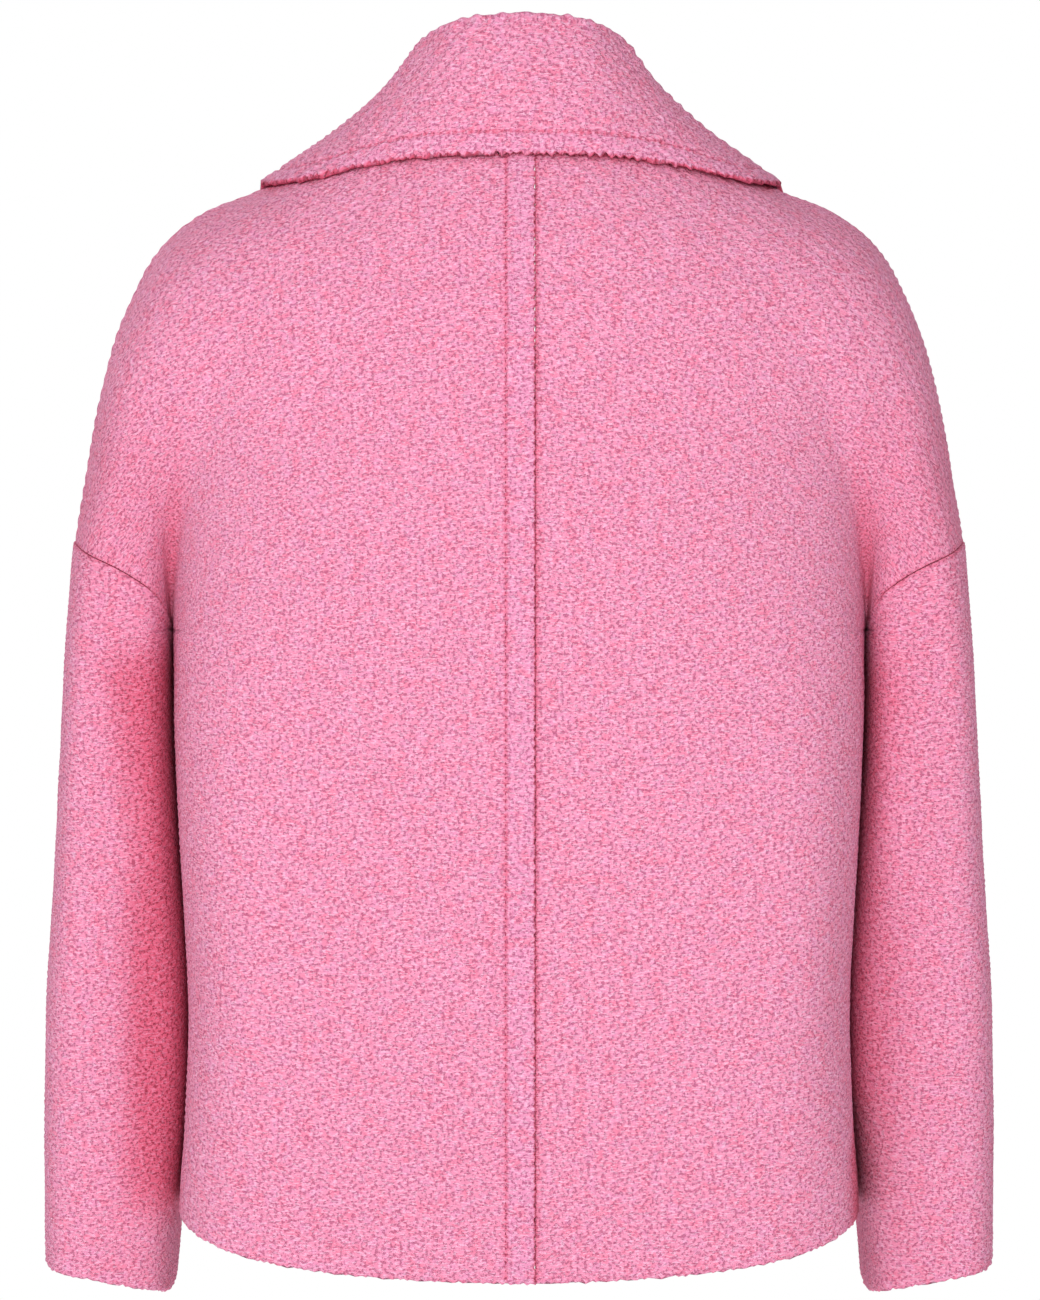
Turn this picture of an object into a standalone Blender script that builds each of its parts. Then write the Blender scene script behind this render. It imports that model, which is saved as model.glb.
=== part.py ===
"""Cropped double-breasted pea coat with drop shoulders and a wide turned-down collar.

Metres, +Z up. The front faces -Y and the wearer's left is +X. The origin is the nape, the middle of
the back neck seam. The coat is filled out and hollow, as when worn, with its arms hanging.

Every panel lies on one form. A level of the form is named by `along`, the distance from the neck
point down the shoulder and arm. At each level the torso is a squared ellipse, and so is the arm
beside it. Above the armpit the two are joined by a power mean, which leaves a soft valley between
back and arm. Below it they part into the body and the sleeve.
"""

import bmesh
import bpy
import numpy as np
from mathutils import Matrix

# Driving sizes.
WALL = 0.003  # the thick woven cloth
SEAM = 0.0003  # gap between two pieces that are sewn together
NECK_SEAM = 0.0005
MID_Y = -0.075  # depth of the shoulder and side seams
ARMPIT = 0.354  # level where body and sleeve part
HEM = 0.701
CUFF = 0.715
ARMHOLE_TOP = 0.3065  # level of the armhole seam on the outside of the arm
HEM_RISE = 0.007  # how much higher the hem is at its sides
HEM_CORNER = 0.006  # and the extra lift just beside the side seams
CUFF_DROP = 0.005  # how much lower the cuff hangs at its front and back
CUFF_TILT = 0.007  # and how much higher on the outside
ARM_SQUARE = 2.2  # exponent of the arm's ellipse
VALLEY_POWER = 10.0  # the larger, the sharper the valley between back and arm

# The form, one row for each level. ridge: outer line of shoulder and arm. back, front: centre lines.
# torso_x: half width of the body. arm_x, arm_deep, arm_y: the arm's inner side, half depth and middle.
OUTLINE_COLUMNS = (
    "along", "ridge_x", "ridge_z", "back_z", "back_y", "front_z", "front_y",
    "torso_x", "arm_x", "arm_deep", "arm_y", "square",
)
OUTLINE = (
    (0.0000, 0.0880, 0.0070, 0.0000, 0.0000, -0.0900, -0.137, 0.0880, 0.040, 0.045, -0.075, 2.2),
    (0.0350, 0.1150, -0.0150, -0.0240, 0.0120, -0.1080, -0.152, 0.1150, 0.060, 0.050, -0.075, 2.3),
    (0.0706, 0.1470, -0.0310, -0.0460, 0.0210, -0.1250, -0.165, 0.1470, 0.085, 0.056, -0.075, 2.4),
    (0.1025, 0.1764, -0.0430, -0.0660, 0.0280, -0.1380, -0.173, 0.1764, 0.110, 0.062, -0.075, 2.5),
    (0.1252, 0.1946, -0.0565, -0.0800, 0.0315, -0.1460, -0.177, 0.1946, 0.124, 0.067, -0.075, 2.55),
    (0.1411, 0.2047, -0.0688, -0.0900, 0.0350, -0.1520, -0.180, 0.2047, 0.133, 0.070, -0.075, 2.6),
    (0.1632, 0.2150, -0.0884, -0.1050, 0.0380, -0.1600, -0.183, 0.2150, 0.143, 0.073, -0.075, 2.65),
    (0.1844, 0.2232, -0.1080, -0.1210, 0.0410, -0.1680, -0.186, 0.2205, 0.151, 0.077, -0.075, 2.7),
    (0.2048, 0.2288, -0.1276, -0.1370, 0.0435, -0.1750, -0.189, 0.2175, 0.158, 0.080, -0.075, 2.75),
    (0.2448, 0.2369, -0.1668, -0.1690, 0.0480, -0.1920, -0.194, 0.2070, 0.169, 0.084, -0.075, 2.8),
    (0.2646, 0.2400, -0.1864, -0.1864, 0.0500, -0.2020, -0.196, 0.2015, 0.175, 0.086, -0.075, 2.85),
    (0.3042, 0.2458, -0.2256, -0.2256, 0.0540, -0.2256, -0.200, 0.1950, 0.185, 0.088, -0.075, 2.9),
    (0.3540, 0.2496, -0.2750, -0.2750, 0.0580, -0.2750, -0.204, 0.1910, 0.191, 0.088, -0.075, 3.0),
    (0.4026, 0.2531, -0.3236, -0.3236, 0.0590, -0.3236, -0.206, 0.1885, 0.1928, 0.085, -0.078, 3.0),
    (0.4810, 0.2579, -0.4020, -0.4020, 0.0600, -0.4020, -0.207, 0.1832, 0.1884, 0.079, -0.083, 3.0),
    (0.5594, 0.2635, -0.4804, -0.4804, 0.0580, -0.4804, -0.205, 0.1785, 0.1840, 0.073, -0.087, 3.0),
    (0.6280, 0.2653, -0.5490, -0.5490, 0.0550, -0.5490, -0.202, 0.1815, 0.1865, 0.068, -0.090, 3.0),
    (0.6770, 0.2656, -0.5980, -0.5980, 0.0515, -0.5980, -0.199, 0.1855, 0.1918, 0.066, -0.092, 3.0),
    (0.7290, 0.2650, -0.6500, -0.6500, 0.0470, -0.6500, -0.195, 0.1885, 0.1955, 0.064, -0.093, 3.0),
)

# Back: the left back laps over the right one in a raised welt seam just right of the centre line.
WELT_X = -0.0085  # the seam, which is the left back's edge
WELT_WIDTH = 0.0155  # edge to stitch line
WELT_RAISE = 0.0018  # the seam allowances under it

# Front: double-breasted, the right front on top. Both fronts turn back above the break in lapels.
LAP = 0.065  # how far a front passes the centre line
BREAK = 0.262  # level where the lapel starts to turn
NECK_EDGE_X = 0.078  # where the front edge meets the neck seam
LAP_RAISE = WALL + 0.0008
LAPEL_OUTER_X, LAPEL_OUTER_ALONG = 0.120, 0.118  # the lapel's point
LAPEL_TOP_ALONG = 0.003
LAPEL_LIFT = 0.0009
UNDER_LAPEL_START = 0.52  # share of the lapel that the top front hides

BUTTON_DIAMETER = 0.030
BUTTON_THICK = 0.0045
BUTTON_X = 0.043
BUTTON_LEVELS = (0.292, 0.400, 0.508)

# Collar, one row for each station from the centre back to its front end. neck: place on the neck
# seam, 1 at the shoulder seam and 2 at the front edge. roll: the fold line at the top. edge_along, edge_turn: the outer edge, as a level of the
# form and degrees round it from the shoulder, front below 0. puff: how far the fall bulges. clear:
# how far its hidden side stays off the back and shoulders at its edge.
COLLAR_COLUMNS = (
    "station", "neck", "roll_x", "roll_y", "roll_z", "edge_along", "edge_turn", "puff", "clear",
)
COLLAR = (
    (0.0, 0.000, 0.0000, -0.0100, 0.0590, 0.0245, 90.0, 0.010, 0.0035),
    (1.0, 0.304, 0.0325, -0.0170, 0.0560, 0.0265, 69.6, 0.009, 0.0035),
    (2.0, 0.570, 0.0525, -0.0380, 0.0475, 0.0355, 48.3, 0.004, 0.0030),
    (3.0, 0.783, 0.0615, -0.0600, 0.0350, 0.0510, 27.0, 0.001, 0.0024),
    (4.0, 1.000, 0.0685, -0.0790, 0.0200, 0.0660, 0.0, 0.000, 0.0022),
    (5.0, 1.450, 0.0755, -0.0960, -0.0030, 0.0870, -20.0, 0.003, 0.0036),
    (6.0, 1.930, 0.0800, -0.1110, -0.0280, 0.0985, -36.0, 0.006, 0.0040),
)
COLLAR_LEAN = 0.0022  # how far the fall leans to the wearer's right
ROLL_RADIUS = 0.0055
FRONT_ROLL = 0.78  # share of it at the front ends

# Mesh sizes: rows down a panel, columns across.
YOKE_ROWS, BODY_ROWS = 12, 10
TORSO_COLUMNS, ARM_COLUMNS = 9, 7
SLEEVE_ROWS = 10
COLLAR_STATIONS = 48
STAND_STEPS, ROLL_STEPS, FALL_STEPS = 3, 4, 6
LAPEL_ROWS, LAPEL_COLUMNS = 14, 8
TABLE_LEVELS, TABLE_POINTS = 90, 160

PINK = (0.86, 0.28, 0.45, 1.0)
BUTTON_PINK = (0.62, 0.15, 0.28, 1.0)


def curve(columns, rows, name, at):
    """The named column as a smooth curve through the rows: cubic, with each row's slope averaged."""
    rows = np.asarray(rows, float)
    knots, values = rows[:, 0], rows[:, columns.index(name)]
    slopes = np.gradient(values, knots)
    at = np.clip(at, knots[0], knots[-1])
    k = np.clip(np.searchsorted(knots, at, side="right") - 1, 0, len(knots) - 2)
    step = knots[k + 1] - knots[k]
    t = (at - knots[k]) / step
    return (
        (2 * t**3 - 3 * t**2 + 1) * values[k]
        + (t**3 - 2 * t**2 + t) * step * slopes[k]
        + (3 * t**2 - 2 * t**3) * values[k + 1]
        + (t**3 - t**2) * step * slopes[k + 1]
    )


def form(name, along):
    return curve(OUTLINE_COLUMNS, OUTLINE, name, along)


def ramp(t):
    t = np.clip(t, 0.0, 1.0)
    return t * t * (3 - 2 * t)


def arch(x, half, power):
    """Height of a squared half ellipse of height 1: (1 - |x/half|^power)^(1/power)."""
    return np.clip(1 - np.abs(x / half) ** power, 0, 1) ** (1 / power)


def depth(along, side):
    return np.where(side > 0, form("back_y", along) - MID_Y, MID_Y - form("front_y", along))


def torso_height(x, along, side):
    return depth(along, side) * arch(x, form("torso_x", along), form("square", along))


def arm_height(x, along):
    inner, outer = form("arm_x", along), form("ridge_x", along)
    return form("arm_deep", along) * arch(x - (inner + outer) / 2, (outer - inner) / 2, ARM_SQUARE)


def body_point(x, along, side):
    """The form at half width x: torso and, above the armpit, the arm joined to it."""
    height = torso_height(x, along, side)
    joined = (height**VALLEY_POWER + arm_height(x, along) ** VALLEY_POWER) ** (1 / VALLEY_POWER)
    height = np.where(along <= ARMPIT, joined, height)
    ridge = form("ridge_z", along)
    end = np.where(side > 0, form("back_z", along), form("front_z", along))
    z = ridge + (end - ridge) * height / depth(along, side)
    share = x / form("torso_x", along)
    rise = (HEM_RISE * share**2 + HEM_CORNER * share**8) * ramp((along - HEM) / 0.09 + 1)
    z = z + np.where(along > ARMPIT, rise, 0)
    return np.stack(np.broadcast_arrays(x, MID_Y + side * height, z), -1)


def arm_point(x, along, side):
    """The arm: the joined form above the armpit, and the sleeve's own ellipse below it."""
    y = form("arm_y", along) + side * arm_height(x, along)
    sleeve = np.stack(np.broadcast_arrays(x, y, form("ridge_z", along)), -1)
    return np.where((along <= ARMPIT)[..., None], body_point(x, along, side), sleeve)


def unit(v):
    return v / np.maximum(np.linalg.norm(v, axis=-1, keepdims=True), 1e-12)


class Half:
    """One half of the front or back: the torso from its edge to the valley, the arm from there out.

    Both are kept as tables of points, level by level, evenly spaced along the cloth.
    """

    def __init__(self, side, start_x):
        self.side = side
        above = np.linspace(0, ARMPIT, TABLE_LEVELS)
        below = np.linspace(ARMPIT, OUTLINE[-1][0], TABLE_LEVELS)[1:]
        self.levels = np.concatenate([above, below])
        along = self.levels[:, None]
        start, ridge = start_x(along), form("ridge_x", along)
        inner, torso = form("arm_x", along), form("torso_x", along)
        probe = inner + (torso - inner) * np.linspace(0, 1, 200)
        above_arm = (torso_height(probe, along, side) - arm_height(probe, along)) / 0.004 + 0.5
        crossing = inner + (torso - inner) * np.clip(above_arm, 0, 1).mean(axis=1, keepdims=True)
        crossing = np.where(along < ARMPIT - 1e-9, crossing, torso)
        top = start + 0.8 * (ridge - start)
        blend = ramp((along - 0.15) / 0.10)
        valley = np.where(along <= ARMPIT, top + (crossing - top) * blend, torso)
        arm_start = np.where(along <= ARMPIT, valley, inner)
        t = np.linspace(0, 1, TABLE_POINTS)
        torso_x = start + (valley - start) * np.sin(t * np.pi / 2)
        arm_x = arm_start + (ridge - arm_start) * (1 - np.cos(t * np.pi)) / 2
        self.torso, self.torso_length = self.even(body_point(torso_x, along, side))
        self.arm, _ = self.even(arm_point(arm_x, along, side))
        self.torso_out, self.arm_out = self.outward(self.torso), self.outward(self.arm)

    @staticmethod
    def even(points):
        """Each row of points moved to equal steps along its own length."""
        steps = np.linalg.norm(np.diff(points, axis=1), axis=-1)
        run = np.concatenate([np.zeros((len(points), 1)), np.cumsum(steps, axis=1)], axis=1)
        share = np.linspace(0, 1, points.shape[1])
        spaced = np.empty_like(points)
        for row, (line, length) in enumerate(zip(points, run)):
            for axis in range(3):
                spaced[row, :, axis] = np.interp(share * length[-1], length, line[:, axis])
        return spaced, run[:, -1]

    def outward(self, table):
        down, across = np.gradient(table, axis=0), np.gradient(table, axis=1)
        return unit(self.side * np.cross(across, down))

    def read(self, table, along, share):
        """The table between its rows and columns, by straight interpolation."""
        row = np.interp(along, self.levels, np.arange(len(self.levels)))
        column = np.clip(share, 0, 1) * (table.shape[1] - 1)
        r = np.clip(row.astype(int), 0, table.shape[0] - 2)
        c = np.clip(column.astype(int), 0, table.shape[1] - 2)
        fr, fc = (row - r)[..., None], (column - c)[..., None]
        upper = table[r, c] * (1 - fc) + table[r, c + 1] * fc
        lower = table[r + 1, c] * (1 - fc) + table[r + 1, c + 1] * fc
        return upper * (1 - fr) + lower * fr


def armhole(share):
    """Level of the armhole seam, from the armpit (share 0) to the outside of the arm (share 1)."""
    return ARMHOLE_TOP + (ARMPIT - ARMHOLE_TOP) * ((1 + np.cos(np.pi * share)) / 2) ** 1.6


def back_left_edge(along):
    return WELT_X + 0 * along


def back_right_edge(along):
    return SEAM - WELT_X + 0 * along


def front_edge(along):
    """The front's edge: the roll line from the neck to the break, then straight down."""
    return NECK_EDGE_X - (NECK_EDGE_X + LAP) * np.clip(along / BREAK, 0, 1)


def top_front_raise(x, along):
    """The top front is lifted off the one under it, as far out as that one reaches."""
    reach = -front_edge(along)
    return LAP_RAISE * (1 - ramp((x - reach - 0.006) / 0.022))


def cut_quads(quads, points):
    """Two triangles for each quad, cut along its shorter diagonal, so that mirror images match."""
    one = np.linalg.norm(points[quads[:, 2]] - points[quads[:, 0]], axis=1)
    other = np.linalg.norm(points[quads[:, 3]] - points[quads[:, 1]], axis=1)
    quads = np.where((other < one - 1e-7)[:, None], np.roll(quads, -1, axis=1), quads)
    return np.concatenate([quads[:, (0, 1, 2)], quads[:, (0, 2, 3)]])


def rim_faces(rim, points, count, inside_out):
    """Triangles of the rim, cut from the point that lies lower, so that both sides of a seam match."""
    first, second = rim[:, 1], rim[:, 0]
    height = (np.abs(points[:, 0]) + 3 * points[:, 2]) * (-1 if inside_out else 1)
    lower = (height[first] < height[second])[:, None]
    corners = np.stack([first, second, second + count, first + count], -1)
    turned = np.where(lower, corners, np.roll(corners, -1, axis=1))
    return np.concatenate([turned[:, (0, 1, 2)], turned[:, (0, 2, 3)]])


def wall(name, outer, inner, quads, inside_out=False):
    """A closed wall between two grids of points, its rims added along every open edge.

    inside_out says that the outer grid lies on the coat's inside at its seam, as the collar's does.
    """
    quads = np.asarray(quads)
    used, index = np.unique(quads, return_inverse=True)
    quads = index.reshape(quads.shape)
    count = len(used)
    points = np.concatenate([outer[used], inner[used]])
    sides = np.stack([quads, np.roll(quads, -1, axis=1)], -1).reshape(-1, 2)
    key = sides[:, 0] * count + sides[:, 1]
    back = sides[:, 1] * count + sides[:, 0]
    rim = sides[~np.isin(key, back)]
    triangles = cut_quads(quads, points)
    faces = np.concatenate([triangles, triangles[:, ::-1] + count, rim_faces(rim, points, count, inside_out)])
    mesh = bpy.data.meshes.new(name)
    mesh.from_pydata(points.tolist(), [], faces.tolist())
    return add(name, mesh, PINK)


def add(name, mesh, colour):
    mesh.shade_smooth()
    thing = bpy.data.objects.new(name, mesh)
    mesh.materials.append(material(colour))
    bpy.data.collections["pea_coat"].objects.link(thing)
    return thing


def material(colour):
    name = "cloth" if colour == PINK else "button"
    found = bpy.data.materials.get(name)
    if found is None:
        found = bpy.data.materials.new(name)
        found.use_nodes = True
        shader = found.node_tree.nodes["Principled BSDF"]
        shader.inputs["Base Color"].default_value = colour
        shader.inputs["Roughness"].default_value = 0.95 if colour == PINK else 0.35
        shader.inputs["Metallic"].default_value = 0.0
    return found


def grid_quads(rows, columns, keep=lambda r, c: np.full(r.shape, True), close=False):
    """Quads of a grid of rows x columns points, those that `keep` allows. They face across x down."""
    r, c = np.meshgrid(np.arange(rows - 1), np.arange(columns - (not close)), indexing="ij")
    chosen = keep(r, c)
    r, c = r[chosen], c[chosen]
    right = (c + 1) % columns
    first, second = r * columns, (r + 1) * columns
    return np.stack([first + c, first + right, second + right, second + c], -1)


def mirrored(points):
    return points * (-1, 1, 1)


def welt_columns(along):
    """Distances of the left back's first columns from its edge: to where the welt ends."""
    return np.array([[0, WELT_WIDTH - 0.0015, WELT_WIDTH + 0.0015]]) + 0 * along[:, None]


def lap_columns(along):
    """Distances of a front's first columns from its edge: across the lap, then where its lift ends."""
    reach = np.maximum(-front_edge(along), 0.008)[:, None]
    return np.concatenate([reach * (0, 0.5, 1, 1.5, 2), 2 * reach + 0.006, 2 * reach + 0.028], axis=1)


def panel(name, side, start_x, right, first=None, outer_raise=None, inner_raise=None):
    """A back or front: torso columns down to the hem, arm columns down to the armhole seam.

    `first` gives the distances of its first columns from its edge, level by level. The raises move
    its outer and inner faces outwards, as functions of half width and level.
    """
    half = Half(side, start_x)
    yoke = 1 - (1 - np.linspace(0, 1, YOKE_ROWS + 1)) ** 1.25
    torso_along = np.concatenate([yoke * ARMPIT, np.linspace(ARMPIT, HEM, BODY_ROWS + 1)[1:]])
    length = np.interp(torso_along, half.levels, half.torso_length)[:, None]
    lead = 0 * length if first is None else first(torso_along) / length
    lead = lead * np.minimum(1, 0.6 / np.maximum(lead[:, -1:], 1e-9))
    columns = TORSO_COLUMNS - (lead.shape[1] - 1) // 2
    spread = np.linspace(0, 1, columns + 1)[1:]
    torso_share = np.concatenate([lead, lead[:, -1:] + (1 - lead[:, -1:]) * spread], axis=1)
    torso_along = np.broadcast_to(torso_along[:, None], torso_share.shape)
    split = torso_share.shape[1] - 1
    arm_share = np.linspace(0, 1, ARM_COLUMNS + 1)[1:]
    arm_along = yoke[:, None] * armhole(arm_share)
    arm_share = np.broadcast_to(arm_share, arm_along.shape)

    points = half.read(half.torso, torso_along, torso_share)
    out = half.read(half.torso_out, torso_along, torso_share)
    arm = half.read(half.arm, arm_along, arm_share)
    arm_out = half.read(half.arm_out, arm_along, arm_share)
    if start_x is back_left_edge or start_x is back_right_edge:
        out[:, 0, 0] = 0
    out[YOKE_ROWS + 1 :, split, 1] = 0
    out[YOKE_ROWS, split] = (0, 0, -1)
    points[YOKE_ROWS:, split, 1] = MID_Y + side * SEAM / 2
    arm_out[:, -1, 1] = 0
    arm[:, -1, 1] = MID_Y + side * SEAM / 2

    missing = ((0, BODY_ROWS), (0, 0), (0, 0))
    points = np.concatenate([points, np.pad(arm, missing)], axis=1)
    out = unit(np.concatenate([out, np.pad(arm_out, missing)], axis=1))
    along = np.concatenate([torso_along, np.pad(arm_along, missing[:2])], axis=1)
    x = points[..., 0]
    raised = 0 * x if outer_raise is None else outer_raise(x, along)
    lifted = 0 * x if inner_raise is None else inner_raise(x, along)
    outer = points + out * raised[..., None]
    inner = points + out * (lifted - WALL)[..., None]
    rows, columns = x.shape
    quads = grid_quads(rows, columns, lambda r, c: (r < YOKE_ROWS) | (c < split))
    outer, inner = outer.reshape(-1, 3), inner.reshape(-1, 3)
    if right:
        outer, inner = mirrored(outer), mirrored(inner)
    if right == (side > 0):
        quads = quads[:, ::-1]
    return wall(name, outer, inner, quads)


def welt(x, along):
    """The raised welt of the back seam: full height from the edge, gone just past its stitch line."""
    return WELT_RAISE * (1 - ramp((x - WELT_X - WELT_WIDTH + 0.0015) / 0.003))


def sleeve(name, right):
    """A tube from the armhole seam to the cuff."""
    backs, fronts = Half(1.0, back_left_edge), Half(-1.0, front_edge)
    share = np.linspace(0, 1, ARM_COLUMNS + 1)
    down = np.linspace(0, 1, SLEEVE_ROWS + 1)[:, None]
    top = armhole(share) + SEAM * (2 - share)
    bottom = CUFF + CUFF_DROP * np.sin(np.pi * share) - CUFF_TILT * share**3
    along = top + (bottom - top) * down
    share = np.broadcast_to(share, along.shape)
    ring, out = [], []
    for half in (backs, fronts):
        points, normal = half.read(half.arm, along, share), half.read(half.arm_out, along, share)
        normal[:, (0, -1), 1] = 0
        ring.append(points)
        out.append(unit(normal))
    points = np.concatenate([ring[0], ring[1][:, -2:0:-1]], axis=1)
    out = np.concatenate([out[0], out[1][:, -2:0:-1]], axis=1)
    out[0, 0] = (-1, 0, 0)
    rows, columns = points.shape[:2]
    outer, inner = points.reshape(-1, 3), (points - out * WALL).reshape(-1, 3)
    quads = grid_quads(rows, columns, close=True)
    if right:
        outer, inner = mirrored(outer), mirrored(inner)
        quads = quads[:, ::-1]
    return wall(name, outer, inner, quads)


def front_surface(x, along):
    """Point and outward direction on a left front at half width x."""
    step = 0.0005
    point = body_point(x, along, -1.0)
    across = body_point(x + step, along, -1.0) - body_point(x - step, along, -1.0)
    down = body_point(x, along + step, -1.0) - body_point(x, along - step, -1.0)
    return point, unit(-np.cross(across, down))


def lapel(name, right, start):
    """The turned-back facing: rows run from the roll line to the outer edge, from the break up."""
    f = np.linspace(start, 1, LAPEL_ROWS + 1)[:, None]
    g = np.linspace(0, 1, LAPEL_COLUMNS + 1)
    roll_along = BREAK - 0.006 + (LAPEL_TOP_ALONG - BREAK + 0.006) * f
    outer_along = BREAK + (LAPEL_OUTER_ALONG - BREAK) * f
    roll_x = front_edge(roll_along) + 0.0005
    outer_x = -LAP + 0.004 + (LAPEL_OUTER_X + LAP - 0.004) * f**0.92
    x = roll_x + (outer_x - roll_x) * g
    along = roll_along + (outer_along - roll_along) * g
    point, out = front_surface(x, along)
    under = LAPEL_LIFT + (top_front_raise(x - 0.008, along) if right else 0 * x)
    inner, outer = point + out * under[..., None], point + out * (under + WALL)[..., None]
    quads = grid_quads(*x.shape)
    inner, outer = inner.reshape(-1, 3), outer.reshape(-1, 3)
    if right:
        inner, outer, quads = mirrored(inner), mirrored(outer), quads[:, ::-1]
    return wall(name, outer, inner, quads)


def neck_line(place):
    """The neck seam at these places: outer rim point, outward direction and the way up the cloth."""
    backs, fronts = Half(1.0, lambda along: 0 * along), Half(-1.0, front_edge)
    lines = []
    for half in (backs, fronts):
        rim = np.concatenate([half.torso[0], half.arm[0][1:]])
        out = np.concatenate([half.torso_out[0], half.arm_out[0][1:]])
        if half is fronts:
            rim, out = rim[-2::-1], out[-2::-1]
        lines.append((rim, out, unit(np.cross(np.gradient(rim, axis=0), out))))
    rim, out, up = (np.concatenate(pair) for pair in zip(*lines))
    out[0, 0] = 0
    out[TABLE_POINTS * 2 - 2, 1] = 0
    run = np.concatenate([[0], np.cumsum(np.linalg.norm(np.diff(rim, axis=0), axis=1))])
    shoulder = run[TABLE_POINTS * 2 - 2]
    run = np.where(run <= shoulder, run / shoulder, 1 + (run - shoulder) / (run[-1] - shoulder))
    rim, out, up = (
        np.stack([np.interp(place, run, line[:, k]) for k in range(3)], -1) for line in (rim, out, up)
    )
    return rim, unit(out), unit(up)


def collar_surface(station, stand, roll, fall):
    """The collar's visible face: up the stand, over the roll and down the fall to its edge.

    station is 0 at the centre back and 6 at the front end. The other three are the numbers of steps.
    """
    row = {name: curve(COLLAR_COLUMNS, COLLAR, name, station) for name in COLLAR_COLUMNS}
    rim, rim_out, up = neck_line(row["neck"])
    foot = rim - rim_out * WALL + up * NECK_SEAM
    foot_back = rim + up * NECK_SEAM
    top = np.stack([row["roll_x"], row["roll_y"], row["roll_z"]], -1)
    along, turn = row["edge_along"], np.radians(row["edge_turn"])
    edge_x = form("ridge_x", along) * np.cos(turn) ** (2 / form("square", along))
    edge = body_point(edge_x, along, np.where(turn > 0, 1.0, -1.0))
    away = unit((edge - (0, MID_Y, 0)) * (1, 1, 0))
    out = unit(away * 0.6 + (0, 0, 0.8))
    edge = edge + out * (row["clear"][:, None] + WALL)

    radius = (ROLL_RADIUS * (1 - (1 - FRONT_ROLL) * ramp((station - 4) / 2)))[:, None]
    lean = unit(top - foot)
    turn = unit(away - lean * (away * lean).sum(-1, keepdims=True))
    rows = [foot]
    for k in range(1, stand + 1):
        rows.append(foot + (top - turn * radius - foot) * k / stand)
    for k in range(1, roll):
        angle = np.pi * k / roll
        rows.append(top + radius * (lean * np.sin(angle) - turn * np.cos(angle)))
    begin = top + turn * radius
    middle = (begin + edge) / 2 + out * row["puff"][:, None]
    for k in range(fall + 1):
        t = k / fall
        rows.append(begin * (1 - t) ** 2 + middle * 2 * t * (1 - t) + edge * t**2)
    return np.stack(rows, axis=1), foot_back


def collar(name):
    """Stand and fall in one folded wall, mirrored about the centre back."""
    station = np.union1d(np.linspace(0, 6, COLLAR_STATIONS // 2 + 1), (4.16,))
    face, foot_back = collar_surface(station, STAND_STEPS, ROLL_STEPS, FALL_STEPS)
    face = np.concatenate([mirrored(face[:0:-1]), face])
    step = np.arange(face.shape[1]) / (STAND_STEPS + ROLL_STEPS)
    face[..., 0] -= COLLAR_LEAN * (ramp(step) - 0.5 * ramp(step - 1))
    foot_back = np.concatenate([mirrored(foot_back[:0:-1]), foot_back])
    across, along = np.gradient(face, axis=1), np.gradient(face, axis=0)
    out = unit(np.cross(along, across))
    hidden = face - out * WALL
    hidden[:, 0] = foot_back
    rows, columns = face.shape[:2]
    quads = grid_quads(rows, columns)[:, ::-1]
    return wall(name, face.reshape(-1, 3), hidden.reshape(-1, 3), quads, inside_out=True)


def button(name, x, along):
    """A plain round button, dished on top, lying on the top front."""
    point, out = front_surface(np.array(x), np.array(along))
    raised = top_front_raise(np.array(x), np.array(along))
    point, out = mirrored(point + out * (raised + SEAM + 0.0004)), mirrored(out)
    radius = BUTTON_DIAMETER / 2
    profile = ((0.0, 0.0), (0.78, 0.0), (1.0, 0.3), (1.0, 0.75), (0.88, 1.0), (0.68, 0.85), (0.0, 0.85))
    mesh = bpy.data.meshes.new(name)
    work = bmesh.new()
    spin = [work.verts.new((r * radius, 0, h * BUTTON_THICK)) for r, h in profile]
    edges = [work.edges.new(pair) for pair in zip(spin, spin[1:])]
    bmesh.ops.spin(work, geom=spin + edges, axis=(0, 0, 1), cent=(0, 0, 0), steps=20, angle=2 * np.pi)
    bmesh.ops.remove_doubles(work, verts=work.verts, dist=1e-6)
    bmesh.ops.recalc_face_normals(work, faces=work.faces)
    work.to_mesh(mesh)
    work.free()
    thing = add(name, mesh, BUTTON_PINK)
    across = unit(np.cross((0.0, 0.0, 1.0), out))
    turn = Matrix((across, np.cross(out, across), out)).transposed().to_4x4()
    thing.matrix_world = Matrix.Translation(point) @ turn
    return thing


def main():
    for thing in list(bpy.data.objects):
        bpy.data.objects.remove(thing)
    bpy.context.scene.collection.children.link(bpy.data.collections.new("pea_coat"))
    panel("back_left", 1.0, back_left_edge, False, first=welt_columns, outer_raise=welt)
    panel("back_right", 1.0, back_right_edge, True)
    panel("front_left", -1.0, front_edge, False, first=lap_columns)
    panel("front_right", -1.0, front_edge, True, lap_columns, top_front_raise, top_front_raise)
    sleeve("sleeve_left", False)
    sleeve("sleeve_right", True)
    lapel("lapel_left", False, UNDER_LAPEL_START)
    lapel("lapel_right", True, 0.04)
    collar("collar")
    for row, along in enumerate(BUTTON_LEVELS, start=1):
        for column, x in (("outer", -BUTTON_X), ("inner", BUTTON_X)):
            button(f"button_{column}_{row}", x, along)


main()
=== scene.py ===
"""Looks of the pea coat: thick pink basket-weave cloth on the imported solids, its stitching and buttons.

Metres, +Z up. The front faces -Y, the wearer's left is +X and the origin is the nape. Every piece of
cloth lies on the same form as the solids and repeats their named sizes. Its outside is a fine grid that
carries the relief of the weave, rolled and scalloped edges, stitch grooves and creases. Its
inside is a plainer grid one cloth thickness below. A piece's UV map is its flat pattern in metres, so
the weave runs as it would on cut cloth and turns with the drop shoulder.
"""

import logging  # noqa: E402
from collections.abc import Callable, Sequence  # noqa: E402
from dataclasses import dataclass, field  # noqa: E402
from enum import Enum  # noqa: E402

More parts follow.
